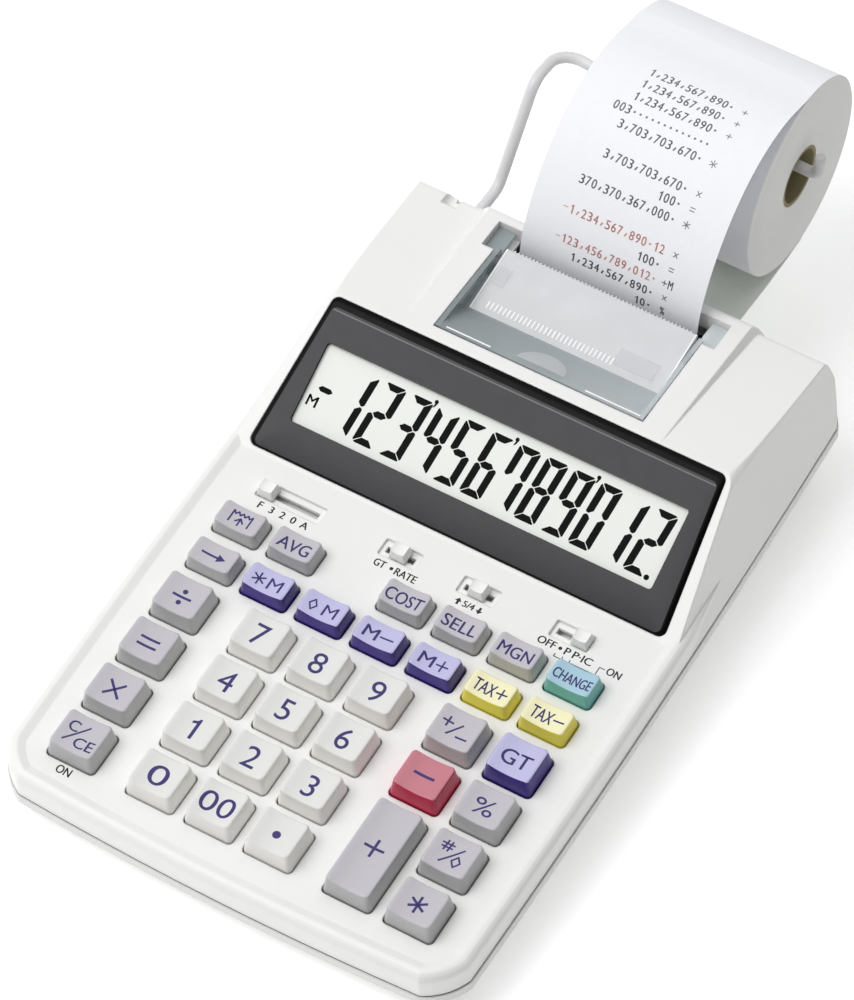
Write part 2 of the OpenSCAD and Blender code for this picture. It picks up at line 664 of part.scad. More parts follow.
placed() upper_case();
placed() lower_case();
placed() display_window();
placed() lcd_panel();
placed() printer_cover();
placed() paper_arm();
placed() paper_roll();
placed() feed_paper();
placed() paper_strip();
placed() printer_frame();
placed() feed_roller();
placed() print_drum();
placed() ink_roller();
placed() main_board();
placed() key_mat();
placed() battery_door();
placed() batteries();
placed() rubber_feet();
placed() case_screws();
placed() dc_jack();
for (k = KNOBS) placed() knob(k);
for (k = KEYS) placed() key(k);
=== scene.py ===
"""Looks of a desktop printing calculator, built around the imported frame. Drawings are in
millimetres in the frames CASE, DECK and RAMP, whose y is measured from the middle of the case,
and finish_piece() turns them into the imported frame's metres."""

import math

import bmesh
import bpy
from mathutils import Matrix, Vector, geometry


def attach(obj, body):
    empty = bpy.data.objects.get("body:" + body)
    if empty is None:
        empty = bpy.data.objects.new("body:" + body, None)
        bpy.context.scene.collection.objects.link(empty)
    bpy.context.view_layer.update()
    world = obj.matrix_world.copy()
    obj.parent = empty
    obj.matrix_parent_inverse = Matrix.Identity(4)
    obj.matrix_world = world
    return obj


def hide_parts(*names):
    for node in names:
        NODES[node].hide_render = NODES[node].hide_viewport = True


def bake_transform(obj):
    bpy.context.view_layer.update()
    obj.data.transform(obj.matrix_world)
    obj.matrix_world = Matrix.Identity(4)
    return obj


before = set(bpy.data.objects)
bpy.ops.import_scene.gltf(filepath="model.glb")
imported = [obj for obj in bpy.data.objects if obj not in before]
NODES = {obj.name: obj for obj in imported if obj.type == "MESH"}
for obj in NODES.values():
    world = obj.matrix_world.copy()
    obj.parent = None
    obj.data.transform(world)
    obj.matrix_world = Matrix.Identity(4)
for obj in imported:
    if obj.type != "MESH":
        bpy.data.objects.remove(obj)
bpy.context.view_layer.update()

MM = 0.001
DECK_ANGLE = math.radians(4)
FRONT_Y = -113.75       # front of the case
MID_Y = 37.275          # middle of the whole object, which is the frame's origin
DECK_Z = 17.8           # height of the keypad deck at the front
RAMP_Y = (11.5, 54.2)   # foot and head of the display slope
BODY_H = 51.5
RAMP_Z = DECK_Z + math.tan(DECK_ANGLE) * (RAMP_Y[0] - FRONT_Y)
RAMP_ANGLE = math.atan2(BODY_H - RAMP_Z, RAMP_Y[1] - RAMP_Y[0])
RAMP_LEN = (BODY_H - RAMP_Z) / math.sin(RAMP_ANGLE)


# ---------- frames of the drawings ----------

def tilted(y, z, angle, y_start=0.0):
    """Frame of a plane that rises to the back by angle from the line (y, z)."""
    return (Matrix.Scale(MM, 4) @ Matrix.Translation((0, y - MID_Y, z)) @ Matrix.Rotation(angle, 4, "X")
            @ Matrix.Translation((0, -y_start, 0)))


CASE = tilted(0, 0, 0)
DECK = tilted(FRONT_Y, DECK_Z, DECK_ANGLE, FRONT_Y)
RAMP = tilted(RAMP_Y[0], RAMP_Z, RAMP_ANGLE)


def deck_box(node):
    """Lowest and highest corner of a CAD node in the deck's frame, in millimetres."""
    back = DECK.inverted()
    points = [back @ v.co for v in NODES[node].data.vertices]
    return [Vector(f(p[i] for p in points) for i in range(3)) for f in (min, max)]


# ---------- materials ----------

def linear(value):
    return value / 12.92 if value <= 0.04045 else ((value + 0.055) / 1.055) ** 2.4


def rgb(*display):
    """Linear colour of a colour as it is seen on a display."""
    return tuple(linear(v) for v in display) + (1.0,)


class Tree:
    """Short hand for building a material's nodes."""

    def __init__(self, name):
        self.material = bpy.data.materials.new(name)
        self.material.use_nodes = True
        self.nodes = self.material.node_tree.nodes
        self.shader = self.nodes["Principled BSDF"]
        self.place = self.add("ShaderNodeTexCoord").outputs["Object"]

    def add(self, kind, inputs=None, **settings):
        node = self.nodes.new(kind)
        for key, value in settings.items():
            setattr(node, key, value)
        for key, value in (inputs or {}).items():
            self.feed(node.inputs[key], value)
        return node

    def feed(self, socket, value):
        if isinstance(value, bpy.types.NodeSocket):
            self.material.node_tree.links.new(value, socket)
        else:
            socket.default_value = value

    def noise(self, scale, detail=2.0, place=None):
        node = self.add("ShaderNodeTexNoise", {"Vector": place or self.place, "Scale": scale, "Detail": detail})
        return node.outputs["Fac"]

    def between(self, fac, low, high):
        node = self.add("ShaderNodeMapRange", {"Value": fac, "To Min": low, "To Max": high})
        return node.outputs["Result"]

    def blend(self, fac, a, b):
        node = self.add("ShaderNodeMix", data_type="RGBA")
        self.feed(node.inputs[0], fac)
        self.feed(node.inputs[6], a)
        self.feed(node.inputs[7], b)
        return node.outputs[2]

    def bump(self, height, strength, distance, normal=None):
        inputs = {"Height": height, "Strength": strength, "Distance": distance}
        if normal:
            inputs["Normal"] = normal
        return self.add("ShaderNodeBump", inputs).outputs["Normal"]


def shade(color, factor):
    return tuple(min(1.0, c * factor) for c in color[:3]) + (1.0,)


def moulded(name, color, rough=0.38, grain=0.25, grain_size=0.35, rounding=0.0, spread=0.04, coat=0.0,
            specular=0.5):
    """Moulded plastic: slight blotches in colour and gloss, and a fine spark-eroded grain."""
    t = Tree(name)
    blotch = t.noise(55.0, 4.0)
    t.feed(t.shader.inputs["Base Color"], t.blend(blotch, shade(color, 1 - spread), shade(color, 1 + spread)))
    t.feed(t.shader.inputs["Roughness"], t.between(t.noise(240.0, 3.0), rough - 0.07, rough + 0.07))
    t.shader.inputs["Specular IOR Level"].default_value = specular
    t.shader.inputs["Coat Weight"].default_value = coat
    t.shader.inputs["Coat Roughness"].default_value = 0.12
    edge = t.add("ShaderNodeBevel", {"Radius": rounding * MM}, samples=4).outputs["Normal"] if rounding else None
    fine = t.noise(1 / (grain_size * MM), 2.0)
    t.feed(t.shader.inputs["Normal"], t.bump(fine, grain, 0.00004, edge))
    return t.material


def brushed(name, color, rough=0.3):
    """Turned or drawn metal, with fine lines round or along the x axis."""
    t = Tree(name)
    stretched = t.add("ShaderNodeMapping", {"Vector": t.place, "Scale": (60.0, 2200.0, 2200.0)}).outputs[0]
    lines = t.noise(1.0, 3.0, stretched)
    t.shader.inputs["Metallic"].default_value = 1.0
    t.feed(t.shader.inputs["Base Color"], t.blend(lines, shade(color, 0.85), shade(color, 1.08)))
    t.feed(t.shader.inputs["Roughness"], t.between(lines, rough - 0.08, rough + 0.1))
    t.feed(t.shader.inputs["Normal"], t.bump(lines, 0.2, 0.00002))
    return t.material


def paper(name, color, translucent=0.0, rough=0.82):
    """Bond paper: faint cloudy formation and short fibres."""
    t = Tree(name)
    cloud = t.noise(420.0, 5.0)
    fibres = t.add("ShaderNodeMapping", {"Vector": t.place, "Scale": (5200.0, 1300.0, 1300.0)}).outputs[0]
    fibre = t.noise(1.0, 2.0, fibres)
    t.feed(t.shader.inputs["Base Color"], t.blend(cloud, shade(color, 0.975), shade(color, 1.015)))
    t.feed(t.shader.inputs["Roughness"], t.between(fibre, rough - 0.06, rough + 0.06))
    t.shader.inputs["Specular IOR Level"].default_value = 0.25
    t.shader.inputs["Subsurface Weight"].default_value = translucent
    t.shader.inputs["Subsurface Radius"].default_value = (0.0006, 0.0006, 0.0006)
    t.feed(t.shader.inputs["Normal"], t.bump(fibre, 0.12, 0.00003))
    return t.material


def roll_side(name, color, centre, pitch=0.42):
    """Wound paper seen from its end: fine uneven rings about the roll's axis."""
    t = Tree(name)
    away = t.add("ShaderNodeVectorMath", {0: t.place, 1: centre}, operation="SUBTRACT").outputs[0]
    flat = t.add("ShaderNodeVectorMath", {0: away, 1: (0.0, 1.0, 1.0)}, operation="MULTIPLY").outputs[0]
    radius = t.add("ShaderNodeVectorMath", {0: flat}, operation="LENGTH").outputs["Value"]
    ring = t.add("ShaderNodeCombineXYZ", {0: radius}).outputs[0]
    fine = t.noise(1 / (pitch * MM), 3.0, ring)
    broad = t.noise(260.0, 2.0, ring)
    t.feed(t.shader.inputs["Base Color"], t.blend(fine, shade(color, 0.93), shade(color, 1.03)))
    t.feed(t.shader.inputs["Roughness"], t.between(broad, 0.75, 0.9))
    t.shader.inputs["Specular IOR Level"].default_value = 0.2
    t.feed(t.shader.inputs["Normal"], t.bump(fine, 0.35, 0.00008, t.bump(broad, 0.3, 0.0004)))
    return t.material


def clear_plastic(name, color, alpha, rough=0.12, grain=0.05):
    """Clear or smoked plastic: seen through, with a polished face and faint flow marks."""
    t = Tree(name)
    flow = t.noise(90.0, 3.0)
    t.feed(t.shader.inputs["Base Color"], t.blend(flow, shade(color, 0.94), shade(color, 1.05)))
    t.feed(t.shader.inputs["Roughness"], t.between(flow, rough - 0.04, rough + 0.05))
    t.feed(t.shader.inputs["Alpha"], t.between(flow, alpha - 0.03, alpha + 0.03))
    t.shader.inputs["Specular IOR Level"].default_value = 0.7
    t.feed(t.shader.inputs["Normal"], t.bump(t.noise(700.0), grain, 0.00004))
    return t.material


def ink(name, color, rough=0.45):
    """Printing ink: slightly uneven in depth and gloss."""
    t = Tree(name)
    speck = t.noise(900.0, 3.0)
    t.feed(t.shader.inputs["Base Color"], t.blend(speck, shade(color, 0.9), shade(color, 1.12)))
    t.feed(t.shader.inputs["Roughness"], t.between(speck, rough - 0.05, rough + 0.08))
    return t.material


def faded_ink(name, low, high):
    """Ribbon ink that grows fainter from the tear edge to the head of the strip."""
    t = Tree(name)
    height = t.add("ShaderNodeSeparateXYZ", {0: t.place}).outputs["Z"]
    rise = t.add("ShaderNodeMapRange", {"Value": height, "From Min": 0.05, "From Max": 0.085}).outputs["Result"]
    dots = t.noise(2600.0, 2.0)
    color = t.blend(rise, low, high)
    pale = t.blend(t.between(dots, 0.0, 0.14), color, rgb(0.9, 0.9, 0.92))
    t.feed(t.shader.inputs["Base Color"], pale)
    t.feed(t.shader.inputs["Roughness"], t.between(dots, 0.65, 0.85))
    return t.material


CASE_WHITE = moulded("case white", rgb(0.925, 0.925, 0.92), rough=0.36, grain=0.16, rounding=0.7, spread=0.012)
LOWER_WHITE = moulded("lower case", rgb(0.88, 0.88, 0.87), rough=0.5, grain=0.5, grain_size=0.6, spread=0.015)
KNOB_WHITE = moulded("knob white", rgb(0.94, 0.94, 0.935), rough=0.34, grain=0.15, rounding=0.25, spread=0.012)
BLACK_EDGE = moulded("window border", rgb(0.02, 0.02, 0.025), rough=0.35, grain=0.05, spread=0.1, specular=0.08)
WINDOW_GREY = moulded("window grey", rgb(0.225, 0.22, 0.23), rough=0.34, grain=0.5, grain_size=0.3, spread=0.015,
                      specular=0.2)
# Painted highlight: a lighter grey for the line of light along the crease near the window's head.
WINDOW_CREASE_HIGHLIGHT = moulded("window crease highlight", rgb(0.30, 0.30, 0.31), rough=0.3, grain=0.3, spread=0.03)
INK_BLUE = ink("legend ink", rgb(0.17, 0.13, 0.42))
INK_BLACK = ink("black ink", rgb(0.07, 0.07, 0.09))
PRINT_BLACK = faded_ink("print black", rgb(0.16, 0.17, 0.22), rgb(0.42, 0.43, 0.44))
PRINT_RED = faded_ink("print red", rgb(0.80, 0.55, 0.49), rgb(0.80, 0.55, 0.49))
SEGMENT = ink("segment", rgb(0.02, 0.02, 0.02), 0.6)
SEGMENT.node_tree.nodes["Principled BSDF"].inputs["Specular IOR Level"].default_value = 0.1


# ---------- mesh helpers ----------

CREASE = 50      # degrees from which a smooth piece shows an edge


def finish_piece(name, bm, matrix, materials, body, smooth=True, replaces=()):
    bmesh.ops.transform(bm, matrix=matrix, verts=bm.verts)
    bmesh.ops.recalc_face_normals(bm, faces=bm.faces)
    mesh = bpy.data.meshes.new(name)
    bm.to_mesh(mesh)
    bm.free()
    for m in materials:
        mesh.materials.append(m)
    for p in mesh.polygons:
        p.use_smooth = smooth
    mesh.set_sharp_from_angle(angle=math.radians(CREASE))
    piece = bpy.data.objects.new(name, mesh)
    bpy.context.scene.collection.objects.link(piece)
    if body:
        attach(piece, body)
    if replaces:
        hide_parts(*replaces)
    return piece


def soft_edges(piece, width, segments=2, angle=30):
    """Rounds the edges sharper than angle and keeps flat faces flat."""
    bevel = piece.modifiers.new("edges", "BEVEL")
    bevel.width = width * MM
    bevel.segments = segments
    bevel.limit_method = "ANGLE"
    bevel.angle_limit = math.radians(angle)
    piece.modifiers.new("normals", "WEIGHTED_NORMAL")
    return piece


ARC = 5      # steps round a ring's corner
SIDE = 8     # steps along a ring's side


def ring(w, d, r):
    """Rounded rectangle w by d, anticlockwise, always with the same number of points."""
    corners = []
    for sx, sy, start in ((1, 1, 0), (-1, 1, 90), (-1, -1, 180), (1, -1, 270)):
        arc = [math.radians(start + 90 * i / ARC) for i in range(ARC + 1)]
        corners.append([Vector((sx * (w / 2 - r) + r * math.cos(a), sy * (d / 2 - r) + r * math.sin(a))) for a in arc])
    points = []
    for arc, after in zip(corners, corners[1:] + corners[:1]):
        points += arc + [arc[-1].lerp(after[0], i / SIDE) for i in range(1, SIDE)]
    return points


def loft(bm, rings, index=0, close_start=True, close_end=True):
    """Joins rings of points, and closes the ends."""
    loops = [[bm.verts.new(p) for p in r] for r in rings]
    faces = []
    for a, b in zip(loops, loops[1:]):
        for i in range(len(a)):
            j = (i + 1) % len(a)
            faces.append(bm.faces.new((a[i], a[j], b[j], b[i])))
    if close_start:
        faces.append(bm.faces.new(loops[0][::-1]))
    if close_end:
        faces.append(bm.faces.new(loops[-1]))
    for f in faces:
        f.material_index = index
    return faces


def block(bm, low, high, index=0):
    """Box between two corners."""
    size = Vector(high) - Vector(low)
    middle = (Vector(high) + Vector(low)) / 2
    made = bmesh.ops.create_cube(bm, size=1, matrix=Matrix.Translation(middle) @ Matrix.Diagonal((*size, 1)))
    for f in {f for v in made["verts"] for f in v.link_faces}:
        f.material_index = index


def curve_through(points, steps=6):
    """Smooth line through the points (Catmull-Rom), steps to each gap."""
    p = [Vector(q) for q in points]
    p = [2 * p[0] - p[1]] + p + [2 * p[-1] - p[-2]]
    line = []
    for a, b, c, d in zip(p, p[1:], p[2:], p[3:]):
        for i in range(steps):
            t = i / steps
            line.append(0.5 * (2 * b + (c - a) * t + (2 * a - 5 * b + 4 * c - d) * t * t
                               + (3 * b - a - 3 * c + d) * t ** 3))
    return line + [p[-2]]


def rod_along(bm, line, radius, sides=24, index=0):
    """Round rod along a line of points, with rounded ends."""
    n = len(line)
    rings = []
    side = None
    for i, p in enumerate(line):
        along = (line[min(i + 1, n - 1)] - line[max(i - 1, 0)]).normalized()
        side = along.cross(Vector((0.3, 1, 0.2))) if side is None else side - along * side.dot(along)
        side.normalize()
        up = along.cross(side)
        reach = [(0.55, -0.85), (0.85, -0.55), (1, 0)] if i == 0 else [(1, 0)]
        reach = reach if i < n - 1 else [(1, 0), (0.85, 0.55), (0.55, 0.85)]
        for scale, shift in reach:
            centre = p + along * radius * shift * 0.6
            rings.append([centre + radius * scale * (math.cos(a) * side + math.sin(a) * up)
                          for a in (2 * math.pi * k / sides for k in range(sides))])
    loft(bm, rings, index)


# ---------- lettering ----------

FLAGGED_ONE = ([Vector((x, y, 0)) for x, y in ((0.02, -0.34), (0.118, -0.34), (0.118, 0.34), (0.05, 0.34),
               (0.02, 0.27), (0.02, 0.18), (-0.115, 0.215), (-0.115, 0.135))],
               [(0, 1, 2, 3, 4, 5), (5, 4, 6, 7)], Vector((0.235, 0.68, 0)))
_glyphs = {"1": FLAGGED_ONE}


def glyphs(text):
    """Flat triangles of a text in the built-in font, centred, in units of its own height."""
    if text not in _glyphs:
        curve = bpy.data.curves.new("lettering", "FONT")
        curve.body = text
        curve.resolution_u = 5
        holder = bpy.data.objects.new("lettering", curve)
        bpy.context.scene.collection.objects.link(holder)
        bpy.context.view_layer.update()
        mesh = bpy.data.meshes.new_from_object(holder.evaluated_get(bpy.context.evaluated_depsgraph_get()))
        points = [v.co.copy() for v in mesh.vertices]
        faces = [tuple(p.vertices) for p in mesh.polygons]
        bpy.data.objects.remove(holder)
        bpy.data.curves.remove(curve)
        bpy.data.meshes.remove(mesh)
        low = Vector(min(p[i] for p in points) for i in range(3))
        high = Vector(max(p[i] for p in points) for i in range(3))
        _glyphs[text] = ([p - (low + high) / 2 for p in points], faces, high - low)
    return _glyphs[text]


INK_T = 0.04     # thickness of printed ink above and below the surface


def print_shape(bm, points, faces, surface, index, cut_x=0.0, cut_y=0.0):
    """Lays flat faces on a surface, a function of (x, y, height), as a thin closed solid."""
    part = bmesh.new()
    verts = [part.verts.new((p[0], p[1], 0)) for p in points]
    for f in faces:
        if len(set(f)) > 2:
            part.faces.new([verts[i] for i in f])
    bmesh.ops.remove_doubles(part, verts=part.verts, dist=1e-4)
    for axis, step in ((0, cut_x), (1, cut_y)):
        if step:
            low = min(v.co[axis] for v in part.verts)
            high = max(v.co[axis] for v in part.verts)
            for k in range(math.floor(low / step) + 1, math.ceil(high / step)):
                normal = Vector((1, 0, 0)) if axis == 0 else Vector((0, 1, 0))
                bmesh.ops.bisect_plane(part, geom=part.verts[:] + part.edges[:] + part.faces[:],
                                       plane_co=normal * k * step, plane_no=normal)
    low_faces = part.faces[:]
    made = bmesh.ops.extrude_face_region(part, geom=low_faces, use_keep_orig=True)["geom"]
    top = {g for g in made if isinstance(g, bmesh.types.BMVert)}
    for v in part.verts:
        v.co = surface(v.co.x, v.co.y, INK_T if v in top else -INK_T)
    bmesh.ops.recalc_face_normals(part, faces=part.faces)
    for f in part.faces:
        f.material_index = index
    mesh = bpy.data.meshes.new("print")
    part.to_mesh(mesh)
    part.free()
    bm.from_mesh(mesh)
    bpy.data.meshes.remove(mesh)


def print_text(bm, text, x, y, height, surface, index, width=None, cut_x=0.0, cut_y=0.0):
    """Prints a text centred on (x, y), height and width in millimetres."""
    points, faces, size = glyphs(text)
    sy = height / size.y
    sx = width / size.x if width else sy
    print_shape(bm, [(x + p.x * sx, y + p.y * sy) for p in points], faces, surface, index, cut_x, cut_y)


def flat(x, y, z):
    return Vector((x, y, z))


def stroke(bm, points, width, surface, index, closed=False, cut_x=0.0):
    """Prints straight strokes of a width between the points."""
    ends = list(zip(points, points[1:] + points[:1] if closed else points[1:]))
    for a, b in ends:
        a, b = Vector(a), Vector(b)
        along = (b - a).normalized() * width / 2
        side = Vector((-along.y, along.x))
        quad = [a - along * 0.6 + side, a - along * 0.6 - side, b + along * 0.6 - side, b + along * 0.6 + side]
        print_shape(bm, quad, [(0, 1, 2, 3)], surface, index, cut_x)


def dot(bm, x, y, radius, surface, index):
    disc = [(x + radius * math.cos(a), y + radius * math.sin(a)) for a in (math.pi * k / 12 for k in range(24))]
    print_shape(bm, disc, [tuple(range(24))], surface, index)


# ---------- keys ----------

# Each key is one plastic, but its side and top get their own colours, each matched to how it looks under the studio
# light: the difference between them is painted light and shade.
KEY_COLOURS_WITH_PAINTED_LIGHT = {        # side, top
    "white": (rgb(0.93, 0.925, 0.91), rgb(0.875, 0.875, 0.865)),
    "grey": (rgb(0.72, 0.72, 0.72), rgb(0.745, 0.735, 0.76)),
    "indigo": (rgb(0.19, 0.09, 0.50), rgb(0.74, 0.73, 0.875)),
    "red": (rgb(0.77, 0.12, 0.29), rgb(0.765, 0.475, 0.525)),
    "yellow": (rgb(0.92, 0.87, 0.26), rgb(0.945, 0.93, 0.76)),
    "teal": (rgb(0.40, 0.69, 0.67), rgb(0.645, 0.785, 0.85)),
}
KEY_MATERIALS = {
    name: [moulded(f"key {name} side", side, rough=0.34, grain=0.12, spread=0.02),
           moulded(f"key {name} top", top, rough=0.42, grain=0.22, spread=0.015), INK_BLUE]
    for name, (side, top) in KEY_COLOURS_WITH_PAINTED_LIGHT.items()
}
DISH_R = 20.0
DISH_SAG = 0.8
FLANGE = 1.6
TAPER = 0.26
TOP_FILLET = 0.55
SMALL_BOLD = 0.06       # half the widening of small legends

# Each key: colour, then what is printed on it, as text, x, y, height and width from the key's middle
big = lambda text, h=6.8, w=None: [(text, 0, -0.5, h, w)]
KEYS = {
    "key_0": ("white", big("0", 6.4, 5.8)), "key_00": ("white", big("00", 6.4, 10.2)),
    "key_point": ("white", "point"),
    "key_1": ("white", big("1", 6.8)), "key_2": ("white", big("2")), "key_3": ("white", big("3")),
    "key_4": ("white", big("4")), "key_5": ("white", big("5")), "key_6": ("white", big("6")),
    "key_7": ("white", big("7")), "key_8": ("white", big("8")), "key_9": ("white", big("9")),
    "key_clear": ("grey", [("C", -3.0, 1.6, 3.4, 2.8), ("CE", 2.4, -2.5, 3.4, 6.0)]),
    "key_multiply": ("grey", "cross"), "key_equals": ("grey", "equals"), "key_divide": ("grey", "divide"),
    "key_total": ("grey", "star"), "key_non_add": ("grey", "number"), "key_plus": ("grey", "plus"),
    "key_percent": ("grey", big("%", 5.2, 6.0)), "key_sign": ("grey", "sign"),
    "key_minus": ("red", "minus"), "key_grand_total": ("indigo", big("GT", 4.7, 8.6)),
    "key_shift": ("grey", "shift"), "key_memory_total": ("indigo", "memory_total"),
    "key_memory_subtotal": ("indigo", "memory_subtotal"),
    "key_memory_minus": ("indigo", [("M", -2.3, -0.3, 3.8, 4.2), ("−", 2.6, -0.3, 0.6, 4.0)]),
    "key_memory_plus": ("indigo", [("M", -2.3, -0.3, 3.8, 4.2), ("+", 2.5, -0.4, 3.5, 3.5)]),
    "key_tax_plus": ("yellow", [("TAX", -1.7, -0.3, 3.9, 6.4), ("+", 3.5, -0.3, 3.2, 3.2)]),
    "key_tax_minus": ("yellow", [("TAX", -1.5, -0.3, 3.9, 6.4), ("−", 3.6, -0.3, 0.6, 3.0)]),
    "key_feed": ("grey", "feed"), "key_average": ("grey", big("AVG", 3.9, 9.8)),
    "key_cost": ("grey", big("COST", 4.0, 11.2)), "key_sell": ("grey", big("SELL", 3.9, 10.4)),
    "key_margin": ("grey", big("MGN", 3.8, 10.2)), "key_change": ("teal", big("CHANGE", 3.2, 11.4)),
}


def sign_strokes(sign):
    """Signs that are drawn in strokes: lists of points, and dots as (x, y, radius)."""
    diamond = lambda x, y, w, h: [(x, y + h), (x + w, y), (x, y - h), (x - w, y), (x, y + h)]
    spoke = lambda n, r, x=0, y=-0.5: [
        [(x + r * math.cos(a), y + r * math.sin(a)), (x - r * math.cos(a), y - r * math.sin(a))]
        for a in (math.pi * k / n + math.pi / 2 for k in range(n))]
    return {
        "point": ([], [(0, -0.6, 1.2)]),
        "cross": ([[(-2.3, -2.8), (2.3, 1.8)], [(-2.3, 1.8), (2.3, -2.8)]], []),
        "equals": ([[(-2.8, 0.7), (2.8, 0.7)], [(-2.8, -1.7), (2.8, -1.7)]], []),
        "divide": ([[(-2.7, -0.5), (2.7, -0.5)]], [(0, 1.4, 0.75), (0, -2.4, 0.75)]),
        "plus": ([[(-2.8, 0), (2.8, 0)], [(0, -2.7), (0, 2.7)]], []),
        "minus": ([[(-2.9, 0), (2.9, 0)]], []),
        "star": (spoke(3, 2.5), []),
        "sign": ([[(-4.6, 1.0), (-1.6, 1.0)], [(-3.1, -0.5), (-3.1, 2.5)], [(-1.9, -2.6), (1.2, 1.6)],
                  [(1.0, -2.4), (4.2, -2.4)]], []),
        "number": ([[(-3.7, 1.1), (-0.7, 1.3)], [(-3.9, 2.2), (-0.5, 2.4)], [(-2.9, 0.2), (-2.6, 3.3)],
                    [(-1.7, 0.2), (-1.4, 3.3)], [(-2.3, -3.4), (2.6, 2.4)], diamond(2.1, -1.8, 1.3, 1.7)], []),
        "shift": ([[(-3.6, -0.3), (1.6, -0.3)]], []),
        "memory_total": (spoke(3, 1.9, -2.9, -0.3), []),
        "memory_subtotal": ([diamond(-3.2, -0.3, 1.1, 1.7)], []),
        "feed": ([[(-3.0, -2.0), (-3.0, 1.9), (-2.2, 1.0), (-1.5, 1.9), (-0.75, 1.0), (0, 1.9), (0.75, 1.0),
                   (1.5, 1.9), (2.2, 1.0), (3.0, 1.9), (3.0, -2.0)], [(0, -2.3), (0, -0.2)],
                  [(-1.2, -1.2), (0, 0.1), (1.2, -1.2)]], []),
    }[sign]


BOLD_SIGNS = {"minus": 0.85, "plus": 0.8, "star": 0.75, "cross": 0.75, "equals": 0.75, "divide": 0.75,
              "sign": 0.55, "number": 0.5, "shift": 0.65, "memory_total": 0.5, "memory_subtotal": 0.45, "feed": 0.5}


def keycap(node):
    """One key: a tapered cap with rounded top edges and a hollow top, its skirt and flange."""
    colour, marks = KEYS[node]
    low, high = deck_box(node)
    w, d, h = high.x - low.x - FLANGE, high.y - low.y - FLANGE, high.z
    taper = TAPER * h
    top_w, top_d = w - taper, d - taper

    def dish(x):
        return min(DISH_SAG, max(0.0, DISH_SAG - DISH_R + math.sqrt(DISH_R ** 2 - x * x)))

    def at(width, depth, radius, z, hollow):
        return [(p.x, p.y, z - hollow * dish(p.x)) for p in ring(width, depth, radius)]

    bm = bmesh.new()
    walls = [at(w, d, 1.3, z, 0) for z in (-3.6, -0.5, 0.35)]
    lean = (h - TOP_FILLET - 0.35) / (h - 0.35)
    walls += [at(w - taper * t * lean, d - taper * t * lean, 1.3, 0.35 + (h - TOP_FILLET - 0.35) * t, t)
              for t in (0.06, 0.5, 0.94, 1.0)]
    edge_w, edge_d = w - taper * lean, d - taper * lean
    for k in range(1, 5):
        a = math.pi / 2 * k / 4
        inset = 2 * TOP_FILLET * (1 - math.cos(a)) * 0.9
        walls.append(at(edge_w - inset, edge_d - inset, 1.25, h - TOP_FILLET * (1 - math.sin(a)), 1))
    loft(bm, walls, 0, True, False)
    face_w, face_d = edge_w - 2 * TOP_FILLET * 0.9, edge_d - 2 * TOP_FILLET * 0.9
    tops = [at(face_w * s, face_d * s, 1.25 * s, h, 1) for s in (1.0, 0.96, 0.84, 0.66, 0.46, 0.26, 0.1)]
    loft(bm, tops, 1, False, True)
    bmesh.ops.remove_doubles(bm, verts=bm.verts, dist=1e-4)
    for f in bm.faces:
        if f.calc_center_median().z > h - TOP_FILLET * 0.45 - DISH_SAG and f.normal.z > 0.62:
            f.material_index = 1
    block(bm, (-w / 2 - FLANGE / 2, -d / 2 - FLANGE / 2, -3.7), (w / 2 + FLANGE / 2, d / 2 + FLANGE / 2, -2.7))
    stem = [[(2.6 * math.cos(a), 2.6 * math.sin(a), z) for a in (math.pi * k / 16 for k in range(32))]
            for z in (-4.9, -3.6)]
    loft(bm, stem)

    surface = lambda x, y, z: Vector((x, y, h - dish(x) + z))
    if isinstance(marks, str):
        lines, dots = sign_strokes(marks)
        for line in lines:
            stroke(bm, line, BOLD_SIGNS.get(marks, 0.7), surface, 2, cut_x=1.2)
        for x, y, r in dots:
            dot(bm, x, y, r, surface, 2)
        if marks.startswith("memory"):
            print_text(bm, "M", 2.2, -0.3, 3.8, surface, 2, 4.2, cut_x=1.2)
        if marks == "shift":
            print_shape(bm, [(1.2, 1.0), (1.2, -1.6), (3.8, -0.3)], [(0, 1, 2)], surface, 2, 1.2)
    else:
        for text, x, y, height, width in marks:
            if text in "+−":
                stroke(bm, [(x - width / 2, y), (x + width / 2, y)], 0.5, surface, 2, cut_x=1.2)
                if text == "+":
                    stroke(bm, [(x, y - height / 2), (x, y + height / 2)], 0.5, surface, 2, cut_x=1.2)
            else:
                for shift in (-SMALL_BOLD, SMALL_BOLD) if height < 5 else (0,):
                    print_text(bm, text, x + shift, y, height, surface, 2, width, cut_x=1.2)
        if node == "key_clear":
            stroke(bm, [(-3.9, -3.4), (1.3, 3.0)], 0.5, surface, 2, cut_x=1.2)
    place = DECK @ Matrix.Translation(((low.x + high.x) / 2, (low.y + high.y) / 2, 0))
    return finish_piece(node + "_cap", bm, place, KEY_MATERIALS[colour], node, replaces=[node])


for key_node in KEYS:
    keycap(key_node)


# ---------- the other CAD pieces that keep their own shape ----------

def dress(node, *materials):
    """Gives a CAD node its material."""
    mesh = NODES[node].data
    mesh.materials.clear()
    for m in materials:
        mesh.materials.append(m)


